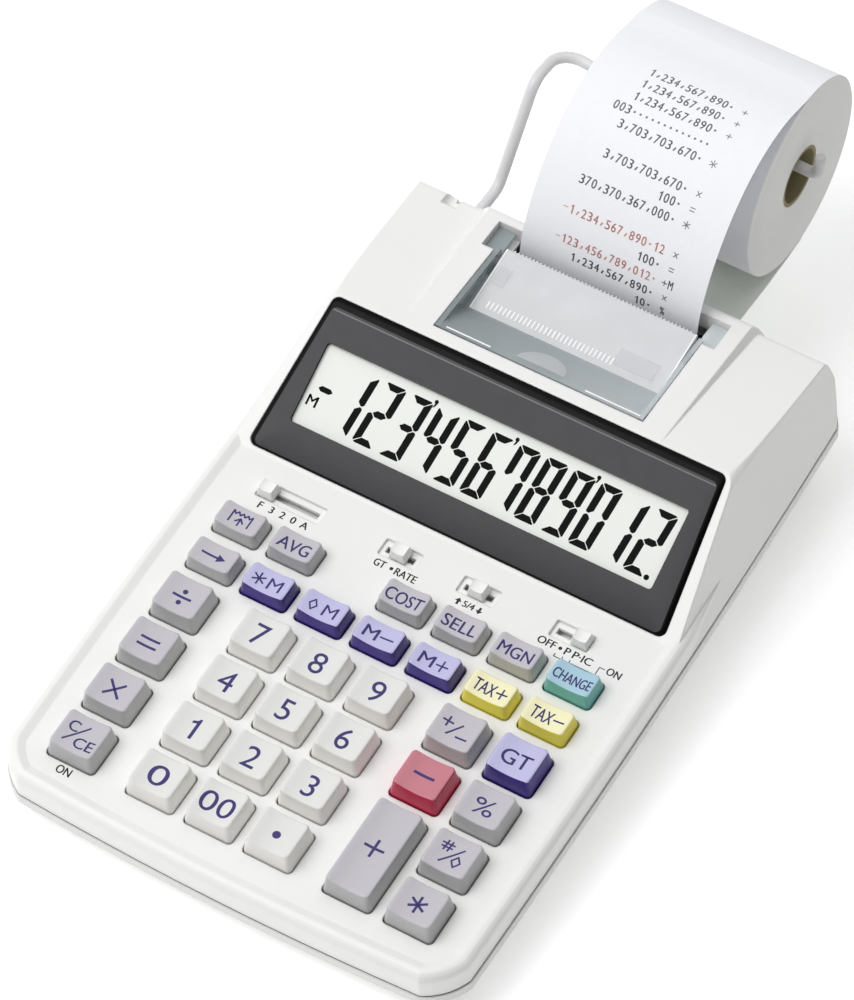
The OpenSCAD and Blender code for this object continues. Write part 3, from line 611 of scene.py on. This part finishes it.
dress("upper_case", CASE_WHITE)
dress("lower_case", LOWER_WHITE)
dress("battery_door", LOWER_WHITE)
for knob in ("knob_decimal", "knob_rate", "knob_rounding", "knob_power"):
    dress(knob, KNOB_WHITE)
dress("printer_frame", moulded("mechanism", rgb(0.90, 0.90, 0.89), rough=0.3, grain=0.1, rounding=0.2))
dress("feed_roller", moulded("ground rubber", rgb(0.16, 0.16, 0.17), rough=0.75, grain=0.5, grain_size=0.25))
dress("print_drum", brushed("type metal", rgb(0.72, 0.73, 0.75)))
dress("ink_roller", moulded("ink felt", rgb(0.16, 0.10, 0.27), 0.95, 1.0, 0.2, spread=0.2))
dress("main_board", moulded("solder mask", rgb(0.08, 0.32, 0.18), rough=0.3, grain=0.2, spread=0.15),
      moulded("switch nylon", rgb(0.86, 0.86, 0.85), rough=0.5, grain=0.2))
dress("key_mat", moulded("silicone", rgb(0.74, 0.75, 0.76), rough=0.7, grain=0.3))
dress("batteries", moulded("cell jacket", rgb(0.20, 0.22, 0.26), rough=0.35, grain=0.1, spread=0.1))
dress("rubber_feet", moulded("foot rubber", rgb(0.13, 0.13, 0.135), rough=0.85, grain=0.8, grain_size=0.5))
dress("case_screws", brushed("zinc steel", rgb(0.68, 0.68, 0.70)))
dress("dc_jack", moulded("jack nylon", rgb(0.10, 0.10, 0.105), rough=0.45, grain=0.3, spread=0.1))


BOARD_TOP = -8.9      # in the deck's frame
to_deck = DECK.inverted()
for polygon in NODES["main_board"].data.polygons:
    polygon.material_index = int((to_deck @ polygon.center).z > BOARD_TOP)


def seam_painted_shadow():
    """Near-black ring in the gap where the two halves of the case meet: a painted shadow standing in for the shade
    inside the seam.
    """
    low, high = -8.52, -8.2
    rim = [to_deck @ v.co for v in NODES["upper_case"].data.vertices]
    rim = [p.xy for p in rim if abs(p.z + 8.3) < 0.05]
    outline = [rim[i] for i in geometry.convex_hull_2d(rim)]
    bm = bmesh.new()
    rings = []
    for inset, z in ((-0.03, low), (-0.03, high), (1.2, high), (1.2, low)):
        rings.append([(*(p - p.normalized() * inset), z) for p in outline])
    loft(bm, rings + rings[:1], 0, False, False)
    bmesh.ops.remove_doubles(bm, verts=bm.verts, dist=1e-4)
    # Painted shadow: near-black colour for the shade inside the seam.
    shadow = moulded("seam painted shadow", rgb(0.22, 0.22, 0.215), rough=0.8, grain=0.2)
    return finish_piece("seam_painted_shadow", bm, DECK, [shadow], "root", False)


seam_painted_shadow()


# ---------- display ----------

WINDOW_T = 2.4
WINDOW_PROUD = 0.7
WINDOW_HALF = (66.5, 62.8)     # half its width at the foot and at the head
WINDOW_MARGIN = (1.2, 0.6)     # room on the slope below and above it
# Rolled-over edge: moved in at the sides, the foot and the head, corner radius; then its depth
WINDOW_EDGE = [((0, 0, 0, 2.2), WINDOW_T), ((0, 0, 0, 2.2), 0.8), ((0.2, 0.1, 0.3, 2.1), 0.35),
               ((0.8, 0.25, 1.6, 1.9), 0.08), ((1.4, 0.5, 2.9, 1.7), 0)]
LCD = (-58.2, 57.5, 11.7, 36.0)       # left, right, foot and head of the clear part
LCD_DEPTH = 1.2


def rounded(corners, radius, steps=8):
    """Anticlockwise outline through the corners, each rounded to the radius."""
    points = []
    for i, c in enumerate(corners):
        a, b = (corners[i - 1] - c).normalized(), (corners[(i + 1) % len(corners)] - c).normalized()
        half = math.acos(a.dot(b)) / 2
        centre = c + (a + b).normalized() * radius / math.sin(half)
        start = c + a * radius / math.tan(half) - centre
        sweep = math.pi - 2 * half
        points += [centre + Matrix.Rotation(sweep * k / steps, 2) @ start for k in range(steps + 1)]
    return points


def window_outline(side, foot, head, radius):
    """Window's outline with its edges moved in by side, foot and head."""
    bottom, top = (half - side for half in WINDOW_HALF)
    y0, y1 = WINDOW_MARGIN[0] + foot, RAMP_LEN - WINDOW_MARGIN[1] - head
    return rounded([Vector(c) for c in ((bottom, y0), (top, y1), (-top, y1), (-bottom, y0))], radius)


def display_window():
    left, right, foot, head = LCD
    hole = rounded([Vector(c) for c in ((right, foot), (right, head), (left, head), (left, foot))], 1.0)
    at = lambda ps, z: [(p.x, p.y, WINDOW_PROUD - z) for p in ps]
    bm = bmesh.new()
    rings = [at(window_outline(*edge), z) for edge, z in WINDOW_EDGE]
    loft(bm, rings, 1, False, False)
    loft(bm, [rings[-1], at(hole, 0)], 0, False, False)
    loft(bm, [at(hole, 0), at(hole, LCD_DEPTH + 0.3), rings[0]], 1, False, False)
    bmesh.ops.remove_doubles(bm, verts=bm.verts, dist=1e-4)
    # Painted highlight: a lighter grey stroke along the crease near the window's head, standing in for the light the
    # crease catches.
    crease = RAMP_LEN - 4.4
    face = lambda x, y, z: Vector((x, y, WINDOW_PROUD + z / 2))
    stroke(bm, [(-61.0, crease), (61.0, crease)], 0.4, face, 2)
    materials = [WINDOW_GREY, BLACK_EDGE, WINDOW_CREASE_HIGHLIGHT]
    return finish_piece("window", bm, RAMP, materials, "root", False, ["display_window"])


SEGMENTS = {"0": "abcdef", "1": "bc", "2": "abged", "3": "abgcd", "4": "fgbc", "5": "afgcd", "6": "afgedc",
            "7": "fabc", "8": "abcdefg", "9": "abcdfg"}
DIGIT_W, DIGIT_H, DIGIT_PITCH = 6.8, 19.2, 8.66
UPRIGHT_T, LEVEL_T = 2.15, 1.95           # thickness of a digit's upright and level segments
DIGIT_SLANT = math.tan(math.radians(5.2))
DIGIT_GAP = 0.2
LAST_DIGIT_X, DIGIT_Y = 51.2, 23.5


def digit(bm, char, x, surface):
    """One slanted seven-segment digit, its segments mitred at their ends."""
    w, h, t, u, g = DIGIT_W / 2, DIGIT_H / 2, UPRIGHT_T, LEVEL_T, DIGIT_GAP
    top = [(-w + 0.85, h), (w - 0.85, h), (w - 0.5, h - 0.3), (w - t - 0.1, h - u), (-w + t + 0.1, h - u),
           (-w + 0.5, h - 0.3)]
    right = [(w - 0.25, h - 0.5), (w, h - 0.9), (w, 0.7), (w - 0.5, g), (w - t / 2, g), (w - t, u / 2 + g),
             (w - t, h - u - g)]
    middle = [(-w + t / 2 + g, 0), (-w + t + g, u / 2), (w - t - g, u / 2), (w - t / 2 - g, 0),
              (w - t - g, -u / 2), (-w + t + g, -u / 2)]
    flip = lambda ps, sx, sy: [(sx * px, sy * py) for px, py in ps]
    shapes = {"a": top, "b": right, "c": flip(right, 1, -1), "d": flip(top, 1, -1), "e": flip(right, -1, -1),
              "f": flip(right, -1, 1), "g": middle}
    for s in SEGMENTS[char]:
        points = [(x + px + DIGIT_SLANT * py, DIGIT_Y + py) for px, py in shapes[s]]
        print_shape(bm, points, [tuple(range(len(points)))], surface, 1)


def lcd_panel():
    """Display panel: pale reflector under glass, with its digits."""
    left, right, foot, head = LCD
    face = WINDOW_PROUD - LCD_DEPTH
    bm = bmesh.new()
    middle = Vector(((left + right) / 2, (foot + head) / 2))
    edge = [p + middle for p in ring(right - left + 1.2, head - foot + 1.2, 0.6)]
    loft(bm, [[(p.x, p.y, z) for p in edge] for z in (face - 1.5, face)])
    surface = lambda x, y, z: Vector((x, y, face + z))
    for k, char in enumerate("123456789012"):
        digit(bm, char, LAST_DIGIT_X - DIGIT_PITCH * (11 - k), surface)
    for k in (3, 6, 9):
        x = LAST_DIGIT_X - DIGIT_PITCH * (12 - k) + 4.7
        dot(bm, x, 33.7, 0.6, surface, 1)
        print_shape(bm, [(x + 0.6, 33.6), (x + 0.15, 32.3), (x - 0.5, 31.7), (x - 0.1, 33.4)], [(0, 1, 2, 3)],
                    surface, 1)
    dot(bm, 54.5, 14.4, 0.8, surface, 1)
    minus = [(-55.2, 23.5), (-54.3, 24.3), (-51.6, 24.3), (-50.6, 23.5), (-51.6, 22.7), (-54.3, 22.7)]
    print_shape(bm, minus, [tuple(range(6))], surface, 1)
    for shift in (-0.08, 0.08):
        print_text(bm, "M", -55.1 + shift, 19.3, 3.2, surface, 1, 3.1)
    reflector = moulded("reflector", rgb(0.925, 0.935, 0.915), 0.55, 0.05, spread=0.004, specular=0.2)
    return finish_piece("display_panel", bm, RAMP, [reflector, SEGMENT], "root", False, ["lcd_panel"])


display_window()
lcd_panel()


# ---------- printer cover ----------

COVER_W = 66.5
SLOPE = [(58.6, 51.6), (60.6, 51.4), (73.0, 45.8)]      # outer face of the smoked front
PLATE = [(73.0, 45.8), (94.1, 49.6)]                     # face of the clear tear plate
PLATE_W = 61.4
TEETH = 48
RIBS = 31


def height_on(line, y):
    """Height at y of a line of (y, z) points."""
    for a, b in zip(line, line[1:]):
        if y <= b[0] or b is line[-1]:
            return a[1] + (b[1] - a[1]) * (y - a[0]) / (b[0] - a[0])


def prism_x(bm, outline, x0, x1, index=0):
    """Extrudes an outline of (y, z) points across the cover."""
    loft(bm, [[(x, y, z) for y, z in outline] for x in (x0, x1)], index)


def smoked(name):
    """Smoked plastic with a painted reflection: its colour is darker to the left, standing in for the studio's dark
    side mirrored in it.
    """
    material = clear_plastic(name, rgb(0.64, 0.685, 0.70), 0.52, rough=0.1)
    t = material.node_tree
    shader = t.nodes["Principled BSDF"]
    place = t.nodes.new("ShaderNodeTexCoord").outputs["Object"]
    split = t.nodes.new("ShaderNodeSeparateXYZ")
    t.links.new(place, split.inputs[0])
    # Painted reflection: the colour runs from darker on the left of the cover to lighter on the right.
    across = t.nodes.new("ShaderNodeMapRange")
    t.links.new(split.outputs["X"], across.inputs["Value"])
    across.inputs["From Min"].default_value = -0.034
    across.inputs["From Max"].default_value = 0.03
    painted_reflection_mix = t.nodes.new("ShaderNodeMix")
    painted_reflection_mix.data_type = "RGBA"
    t.links.new(across.outputs["Result"], painted_reflection_mix.inputs[0])
    painted_reflection_mix.inputs[6].default_value = rgb(0.66, 0.705, 0.715)
    painted_reflection_mix.inputs[7].default_value = rgb(0.85, 0.88, 0.89)
    t.links.new(painted_reflection_mix.outputs[2], shader.inputs["Base Color"])
    return material


def printer_cover():
    w = COVER_W / 2
    bm = bmesh.new()
    thick = 1.3
    prism_x(bm, SLOPE + [(74.2, 45.4), (74.0, 44.2), (60.4, 49.9), (58.6, 50.2)], -w, w)
    for s in (-1, 1):
        prism_x(bm, [(58.6, 49.8), (58.6, 51.6), (93.0, 50.3), (93.0, 46.9), (73.0, 43.2), (67.0, 46.0)],
                s * w - 1.4 * (s > 0), s * w + 1.4 * (s < 0))
        ear = (w - 1.4, 37.15) if s > 0 else (-37.15, -w + 1.4)
        block(bm, (ear[0], 91.85, 46.9), (ear[1], 101.15, 48.2))
        prism_x(bm, [(72.5, 44.4), (72.5, 45.6), (85.0, 47.1), (85.0, 45.9)], s * 31.8 - 1.5, s * 31.8 + 1.5)
    (y0, z0), (y1, z1) = PLATE
    half = PLATE_W / 2
    prism_x(bm, [(y0, z0 - thick), (y0, z0), (y1, z1), (y1 + 0.5, z1 - 0.6), (y1 + 0.2, z1 - thick)], -half, half, 1)
    # Painted highlights: white strips along the clear plate's two edges stand in for the glints on its polished edges.
    for s in (-1, 1):
        edge = [(y0, z0 - 0.2), (y0, z0 + 0.12), (y1, z1 + 0.12), (y1, z1 - 0.2)]
        prism_x(bm, edge, s * half - 0.45 * (s > 0), s * half + 0.45 * (s < 0), 2)
    for i in range(TEETH):
        x = -29 + 58 * (i + 0.5) / TEETH
        loft(bm, [[(x - 0.5, y1 + 0.3, z), (x + 0.5, y1 + 0.3, z), (x, y1 + 1.1, z)] for z in (z1 - 0.9, z1 - 0.45)], 1)
    on_slope = lambda x, y, z: Vector((x, y, height_on(SLOPE, y) + z))
    on_plate = lambda x, y, z: Vector((x, y, height_on(PLATE, y) + z * 3))
    pad = [(-0.7 + 7.5 * math.cos(a), 60.7 + 7.0 * math.sin(a)) for a in (math.pi * k / 20 for k in range(21))]
    print_shape(bm, pad, [tuple(range(21))], on_slope, 3)
    inner = [(-0.7 + 5.6 * math.cos(a), 60.9 + 5.2 * math.sin(a)) for a in (math.pi * k / 20 for k in range(21))]
    print_shape(bm, inner, [tuple(range(21))], lambda x, y, z: on_slope(x, y, 2 * z), 3)
    # Painted highlights: two white bars along the front edge of the smoked slope stand in for the light caught there.
    for a, b in ((-30, -16), (14.6, 32)):
        stroke(bm, [(a, 59.6), (b, 59.6)], 0.5, on_slope, 2)
    for i in range(RIBS):
        x = -26.3 + 40 * i / (RIBS - 1)
        stroke(bm, [(x, 75.0), (x, 77.2)], 0.5, on_plate, 2)
    for low, high in (((14.0, 75.6), (26.7, 81.0)), ((-29.3, 82.5), (-25.5, 88.5))):
        print_shape(bm, [low, (high[0], low[1]), high, (low[0], high[1])], [(0, 1, 2, 3)], on_plate, 3)
    # The white material serves both the ribs seen through the plate and the painted highlights.
    materials = [smoked("smoked cover with painted reflection"), clear_plastic("tear plate", rgb(0.90, 0.905, 0.915), 0.72, 0.16),
                 moulded("rib white and painted highlight", rgb(0.97, 0.97, 0.975), rough=0.25, grain=0.1, spread=0.01),
                 clear_plastic("frosted", rgb(0.88, 0.89, 0.90), 0.45, 0.4, 0.4)]
    piece = finish_piece("cover_clear", bm, CASE, materials, "printer_cover", False,
                         ["printer_cover"])
    return soft_edges(piece, 0.12, 2, 40)


printer_cover()


# ---------- legends printed on the deck ----------

def deck_legends():
    bm = bmesh.new()

    def put(text, x, y, h, w=None):
        for shift in (-0.07, 0.07):
            print_text(bm, text, x + shift, y, h, flat, 0, w)

    line = lambda points, width=0.25: stroke(bm, points, width, flat, 0)
    for text, x in (("F", -52.5), ("3", -48.9), ("2", -45.4), ("0", -41.9), ("A", -38.3)):
        put(text, x, -3.2, 2.3)
    put("GT", -13.6, -3.6, 2.4, 3.4)
    dot(bm, -9.9, -3.6, 0.55, flat, 0)
    put("RATE", -5.3, -3.7, 2.4, 6.6)
    for x, turn in ((11.5, 1), (18.2, -1)):
        arrow = [(-0.35, -1.1), (0.35, -1.1), (0.35, 0), (1, 0), (0, 1.15), (-1, 0), (-0.35, 0)]
        print_shape(bm, [(x + px * turn, -3.7 + py * turn) for px, py in arrow], [tuple(range(7))], flat, 0)
    put("5/4", 14.8, -3.6, 2.0, 3.4)
    put("OFF", 39.4, -3.3, 2.4, 5.4)
    dot(bm, 43.6, -3.3, 0.55, flat, 0)
    put("P", 45.9, -3.3, 2.4)
    put("P·IC", 50.6, -3.3, 2.4, 5.8)
    put("ON", 60.4, -3.3, 2.4, 4.2)
    line([(43.2, -5.4), (43.2, -6.3), (45.6, -6.3), (45.6, -5.4)])
    line([(47.9, -5.4), (47.9, -6.2), (56.0, -6.2), (56.0, -3.4), (57.6, -3.4)])
    put("ON", -53.2, -103.0, 2.6, 4.4)
    return finish_piece("deck_legends", bm, DECK, [INK_BLACK], "root", False)


deck_legends()


# ---------- paper, arm and roll ----------

PAPER_W = 57.5
ROLL_C = (157.3, 53.3)
ROLL_R = 31.0
CORE_R, CORE_T = 8.5, 1.2
STRIP = [(98, 27.6), (97.5, 31), (97.5, 40), (97.9, 46), (99.2, 52.5), (102.2, 60), (106.6, 67.4), (112.3, 74.4),
         (119, 80.2), (126.6, 84.6), (135, 87.2), (143.5, 87.8), (151, 86.8), (157.5, 85.15), (165, 83.9)]
PAPER_WHITE = paper("paper", rgb(0.955, 0.957, 0.975), 0.1)


def sheet_along(bm, line, width, thickness, across=10, curl=0.0, index=0):
    """Thin sheet along a line of (y, z) points, its edges lifted by curl."""
    n = len(line)
    rows = {1: [], -1: []}
    for i, p in enumerate(line):
        along = (line[min(i + 1, n - 1)] - line[max(i - 1, 0)]).normalized()
        normal = Vector((-along.y, along.x))
        for s in (1, -1):
            row = []
            for k in range(across + 1):
                u = 2 * k / across - 1
                q = p + normal * (s * thickness / 2 + curl * u * u * min(1, i / 12))
                row.append(bm.verts.new((u * width / 2, q.x, q.y)))
            rows[s].append(row)
    face = lambda *v: setattr(bm.faces.new(v), "material_index", index)
    for i in range(n - 1):
        for k in range(across):
            a, b = rows[1], rows[-1]
            face(a[i][k], a[i][k + 1], a[i + 1][k + 1], a[i + 1][k])
            face(b[i][k + 1], b[i][k], b[i + 1][k], b[i + 1][k + 1])
        for k, turn in ((0, 1), (across, -1)):
            quad = (rows[1][i][k], rows[1][i + 1][k], rows[-1][i + 1][k], rows[-1][i][k])
            face(*quad[::turn])
    for i, turn in ((0, -1), (n - 1, 1)):
        for k in range(across):
            quad = (rows[1][i][k], rows[1][i][k + 1], rows[-1][i][k + 1], rows[-1][i][k])
            face(*quad[::turn])


ROWS = [  # printed rows from the newest: text, sign, red
    ("10.", "%", False), ("1,234,567,890.", "x", False), ("-123,456,789,012.", "+M", True), ("100.", "=", False),
    ("-1,234,567,890.12", "x", True), None, ("370,370,367,000.", "*", False), ("100.", "=", False),
    ("3,703,703,670.", "x", False), None, ("3,703,703,670.", "*", False), ("003.............", "", False),
    ("1,234,567,890.", "+", False), ("1,234,567,890.", "+", False), ("1,234,567,890.", "+", False)]
FIRST_ROW, ROW_PITCH, CHAR_PITCH = 20.2, 4.63, 1.93
NUMBER_RIGHT, SIGN_X = 13.3, 17.2
CHAR_H = 2.75


def strip_print(bm, line):
    """Rows of printed figures along the strip."""
    lengths = [0.0]
    for a, b in zip(line, line[1:]):
        lengths.append(lengths[-1] + (b - a).length)

    def surface(x, s, z):
        i = max(k for k in range(len(line) - 1) if lengths[k] <= s or k == 0)
        t = (s - lengths[i]) / (lengths[i + 1] - lengths[i])
        p = line[i].lerp(line[i + 1], t)
        along = (line[i + 1] - line[i]).normalized()
        lift = 0.06 + z / 2
        return Vector((x, p.x - along.y * lift, p.y + along.x * lift))

    shapes = {"x": [[(-0.6, -0.7), (0.6, 0.7)], [(-0.6, 0.7), (0.6, -0.7)]], "=": [[(-0.7, 0.45), (0.7, 0.45)],
              [(-0.7, -0.45), (0.7, -0.45)]], "+": [[(-0.8, 0), (0.8, 0)], [(0, -0.8), (0, 0.8)]],
              "-": [[(-0.6, 0), (0.6, 0)]],
              "*": [[(0, -1.1), (0, 1.1)], [(-0.95, -0.55), (0.95, 0.55)], [(-0.95, 0.55), (0.95, -0.55)]]}

    def char(c, x, s, index):
        if c == ".":
            dot(bm, x, s - 0.05, 0.36, surface, index)
        elif c == ",":
            stroke(bm, [(x + 0.2, s - 0.1), (x - 0.15, s - 0.95)], 0.5, surface, index)
        elif c in shapes:
            for a, b in shapes[c]:
                stroke(bm, [(x + a[0], s + a[1]), (x + b[0], s + b[1])], 0.28, surface, index)
        else:
            for shift in (-0.06, 0.06):
                print_text(bm, c, x + shift, s, CHAR_H, surface, index, 1.4 if c != "1" else 0.8, cut_y=1.2)

    for k, row in enumerate(ROWS):
        if row is None:
            continue
        text, sign, red = row
        s = FIRST_ROW + ROW_PITCH * k
        for i, c in enumerate(reversed(text)):
            char(c, NUMBER_RIGHT - 0.5 - CHAR_PITCH * i, s, 2 if red else 1)
        for i, c in enumerate(sign):
            char(c, SIGN_X + CHAR_PITCH * (i - (len(sign) - 1) * 0.5), s, 1)


def paper_strip():
    line = curve_through([Vector(p) for p in STRIP], 5)
    bm = bmesh.new()
    sheet_along(bm, line, PAPER_W, 0.12)
    strip_print(bm, line)
    return finish_piece("strip", bm, CASE, [PAPER_WHITE, PRINT_BLACK, PRINT_RED], "root",
                        replaces=["paper_strip"])


def lathe_x(bm, profile, centre, sides=96, index=0):
    """Turns a closed profile of (x, radius) points about the x axis through centre (y, z)."""
    rings = []
    for k in range(sides):
        a = 2 * math.pi * k / sides
        rings.append([(x, centre[0] + r * math.cos(a), centre[1] + r * math.sin(a)) for x, r in profile])
    loops = [[bm.verts.new(p) for p in r] for r in rings]
    for a, b in zip(loops, loops[1:] + loops[:1]):
        for i in range(len(a)):
            j = (i + 1) % len(a)
            f = bm.faces.new((a[i], b[i], b[j], a[j]))
            f.material_index = index[i] if isinstance(index, list) else index


def paper_roll():
    """Wound paper with slightly stepped end faces, on its card core."""
    bm = bmesh.new()
    half = PAPER_W / 2
    inner = CORE_R + CORE_T
    steps = [(inner, 0.25), (13.5, 0.1), (14.0, 0.0), (20.5, 0.12), (21.0, 0.05), (27.0, 0.0), (27.5, 0.1),
             (ROLL_R - 0.25, 0.02)]
    right = [(half - e, r) for r, e in steps]
    left = [(-half + e, r) for r, e in reversed(steps)]
    profile = right + [(half - 0.25, ROLL_R), (-half + 0.25, ROLL_R)] + left
    n = len(right)
    index = [1] * n + [0] + [1] * (len(profile) - n - 1)
    lathe_x(bm, profile, ROLL_C, index=index)
    core = [(half - 0.4, CORE_R), (half - 0.3, CORE_R + 0.15), (half - 0.3, inner - 0.05)]
    core += [(-x, r) for x, r in core[::-1]]
    lathe_x(bm, core, ROLL_C, index=2)
    centre = tuple(CASE @ Vector((0, *ROLL_C)))
    card = paper("card core", rgb(0.58, 0.54, 0.42), rough=0.9)
    side = roll_side("roll side", rgb(0.90, 0.905, 0.89), centre)
    piece = finish_piece("roll", bm, CASE, [PAPER_WHITE, side, card], "paper_roll",
                         replaces=["paper_roll"])
    edge = piece.modifiers.new("edges", "EDGE_SPLIT")
    edge.split_angle = math.radians(35)
    return piece


def feed_paper():
    """Paper from the bottom of the roll to the inlet."""
    start = (114.0, 24.2)
    points = [(ROLL_C[0] + 4, ROLL_C[1] - ROLL_R - 0.02), (ROLL_C[0], ROLL_C[1] - ROLL_R - 0.3), (148, 22.0),
              (140, 22.1), (128, 22.9), start]
    line = curve_through([Vector(p) for p in points], 6)
    bm = bmesh.new()
    sheet_along(bm, line, PAPER_W, 0.12)
    # Painted shade: the same paper as the strip, tinted greenish as it looks in the shade under the roll.
    feed_paper_painted_shade = paper("feed paper", rgb(0.945, 0.965, 0.925), 0.1)
    piece = finish_piece("feed_sheet", bm, CASE, [feed_paper_painted_shade], None, replaces=["feed_paper"])
    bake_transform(piece)
    return piece


ARM_X = -50.0
PIVOT = (109.5, 37.0)
ROD = (157.3, 60.0)
WIRE_R = 1.75
# Corners of the bent wire, each with its bending radius
ARM_CORNERS = [((ARM_X, *PIVOT), 0), ((ARM_X, 122.1, 36.8), 6), ((ARM_X, 142.6, 63.6), 7),
               ((ARM_X, ROD[0], 62.0), 7), ((-31, *ROD), 30), ((31.5 + 3.2, ROD[0], ROD[1] - 3), 3.2),
               ((31.5 + 3.2, ROD[0], ROD[1] + 4.6), 0)]


def bent(corners, step=9):
    """Line through the corners, each rounded to its radius in steps of so many degrees."""
    line = [Vector(corners[0][0])]
    for (before, _), (p, r), (after, _) in zip(corners, corners[1:], corners[2:]):
        p = Vector(p)
        a, b = (Vector(before) - p).normalized(), (Vector(after) - p).normalized()
        half = a.angle(b) / 2
        centre = p + (a + b).normalized() * r / math.sin(half)
        start, end = p + a * r / math.tan(half) - centre, p + b * r / math.tan(half) - centre
        turns = max(2, round(math.degrees(math.pi - 2 * half) / step))
        line += [centre + start.slerp(end, k / turns) * r for k in range(turns + 1)]
    return line + [Vector(corners[-1][0])]


def paper_arm():
    bm = bmesh.new()
    rod_along(bm, bent(ARM_CORNERS), WIRE_R)
    rod_along(bm, [Vector((ARM_X + s, *PIVOT)) for s in (-7.4, -4, 0, 4, 7.4)], WIRE_R)
    coating = moulded("coated wire", rgb(0.83, 0.83, 0.835), rough=0.3, grain=0.1, spread=0.02, coat=0.2)
    return finish_piece("arm_wire", bm, CASE, [coating], "paper_arm", replaces=["paper_arm"])


paper_strip()
paper_roll()
feed_paper()
paper_arm()


# ---------- floor, light and camera ----------

LAMPS = (("key", (-0.65, -0.5, 1.4), 1.1, 15.0), ("top", (0.1, 0.5, 1.5), 1.5, 6.0))    # place, size, watts
LAMP_AIM = Vector((0, 0, 0.02))


def studio():
    bpy.ops.mesh.primitive_plane_add(size=8)
    floor = bpy.context.object
    floor.name = "floor"
    t = Tree("floor")
    t.feed(t.shader.inputs["Base Color"], t.blend(t.noise(2.0), rgb(0.955, 0.955, 0.955), rgb(0.965, 0.965, 0.965)))
    t.shader.inputs["Roughness"].default_value = 0.85
    t.shader.inputs["Emission Color"].default_value = (1.0, 1.0, 1.0, 1.0)
    t.shader.inputs["Emission Strength"].default_value = 0.3
    floor.data.materials.append(t.material)
    world = bpy.data.worlds.new("studio")
    world.use_nodes = True
    tree = world.node_tree
    tree.nodes["Background"].inputs["Color"].default_value = (1.0, 1.0, 1.0, 1.0)
    aim = tree.nodes.new("ShaderNodeTexCoord").outputs["Generated"]
    split = tree.nodes.new("ShaderNodeSeparateXYZ")
    tree.links.new(aim, split.inputs[0])
    side = tree.nodes.new("ShaderNodeMapRange")
    tree.links.new(split.outputs["X"], side.inputs["Value"])
    for key, value in (("From Min", -1.0), ("From Max", 1.0), ("To Min", 0.66), ("To Max", 0.13)):
        side.inputs[key].default_value = value
    tree.links.new(side.outputs["Result"], tree.nodes["Background"].inputs["Strength"])
    bpy.context.scene.world = world
    for name, place, size, power in LAMPS:
        light = bpy.data.lights.new(name, "AREA")
        light.size = size
        light.energy = power
        lamp = bpy.data.objects.new(name, light)
        lamp.location = place
        lamp.rotation_euler = (LAMP_AIM - Vector(place)).to_track_quat("-Z", "Y").to_euler()
        bpy.context.scene.collection.objects.link(lamp)
    bpy.context.scene.view_settings.view_transform = "Standard"


AZIMUTH, ELEVATION, ROLL_ANGLE = 30.916, 52.233, -0.057
DISTANCE = 1.5895
FOCAL, FILM_H = 205.5, 36.0      # millimetres
AIM = (-0.0007, 0.0359)       # where the picture's middle looks, right and up from the case's middle


def camera():
    az, el, roll = (math.radians(a) for a in (AZIMUTH, ELEVATION, ROLL_ANGLE))
    right = Vector((math.cos(az), math.sin(az), 0))
    back = Vector((math.sin(az) * math.cos(el), -math.cos(az) * math.cos(el), math.sin(el)))
    up = back.cross(right)
    right, up = math.cos(roll) * right + math.sin(roll) * up, math.cos(roll) * up - math.sin(roll) * right
    lens = bpy.data.cameras.new("camera")
    lens.sensor_fit = "VERTICAL"
    lens.sensor_height = FILM_H
    lens.lens = FOCAL
    lens.clip_end = 20.0
    view = bpy.data.objects.new("camera", lens)
    middle = Vector((0, -MID_Y * MM, 0)) + right * AIM[0] + up * AIM[1]
    place = middle + back * DISTANCE
    view.matrix_world = Matrix.Translation(place) @ Matrix((right, up, back)).transposed().to_4x4()
    bpy.context.scene.collection.objects.link(view)
    bpy.context.scene.camera = view


studio()
camera()
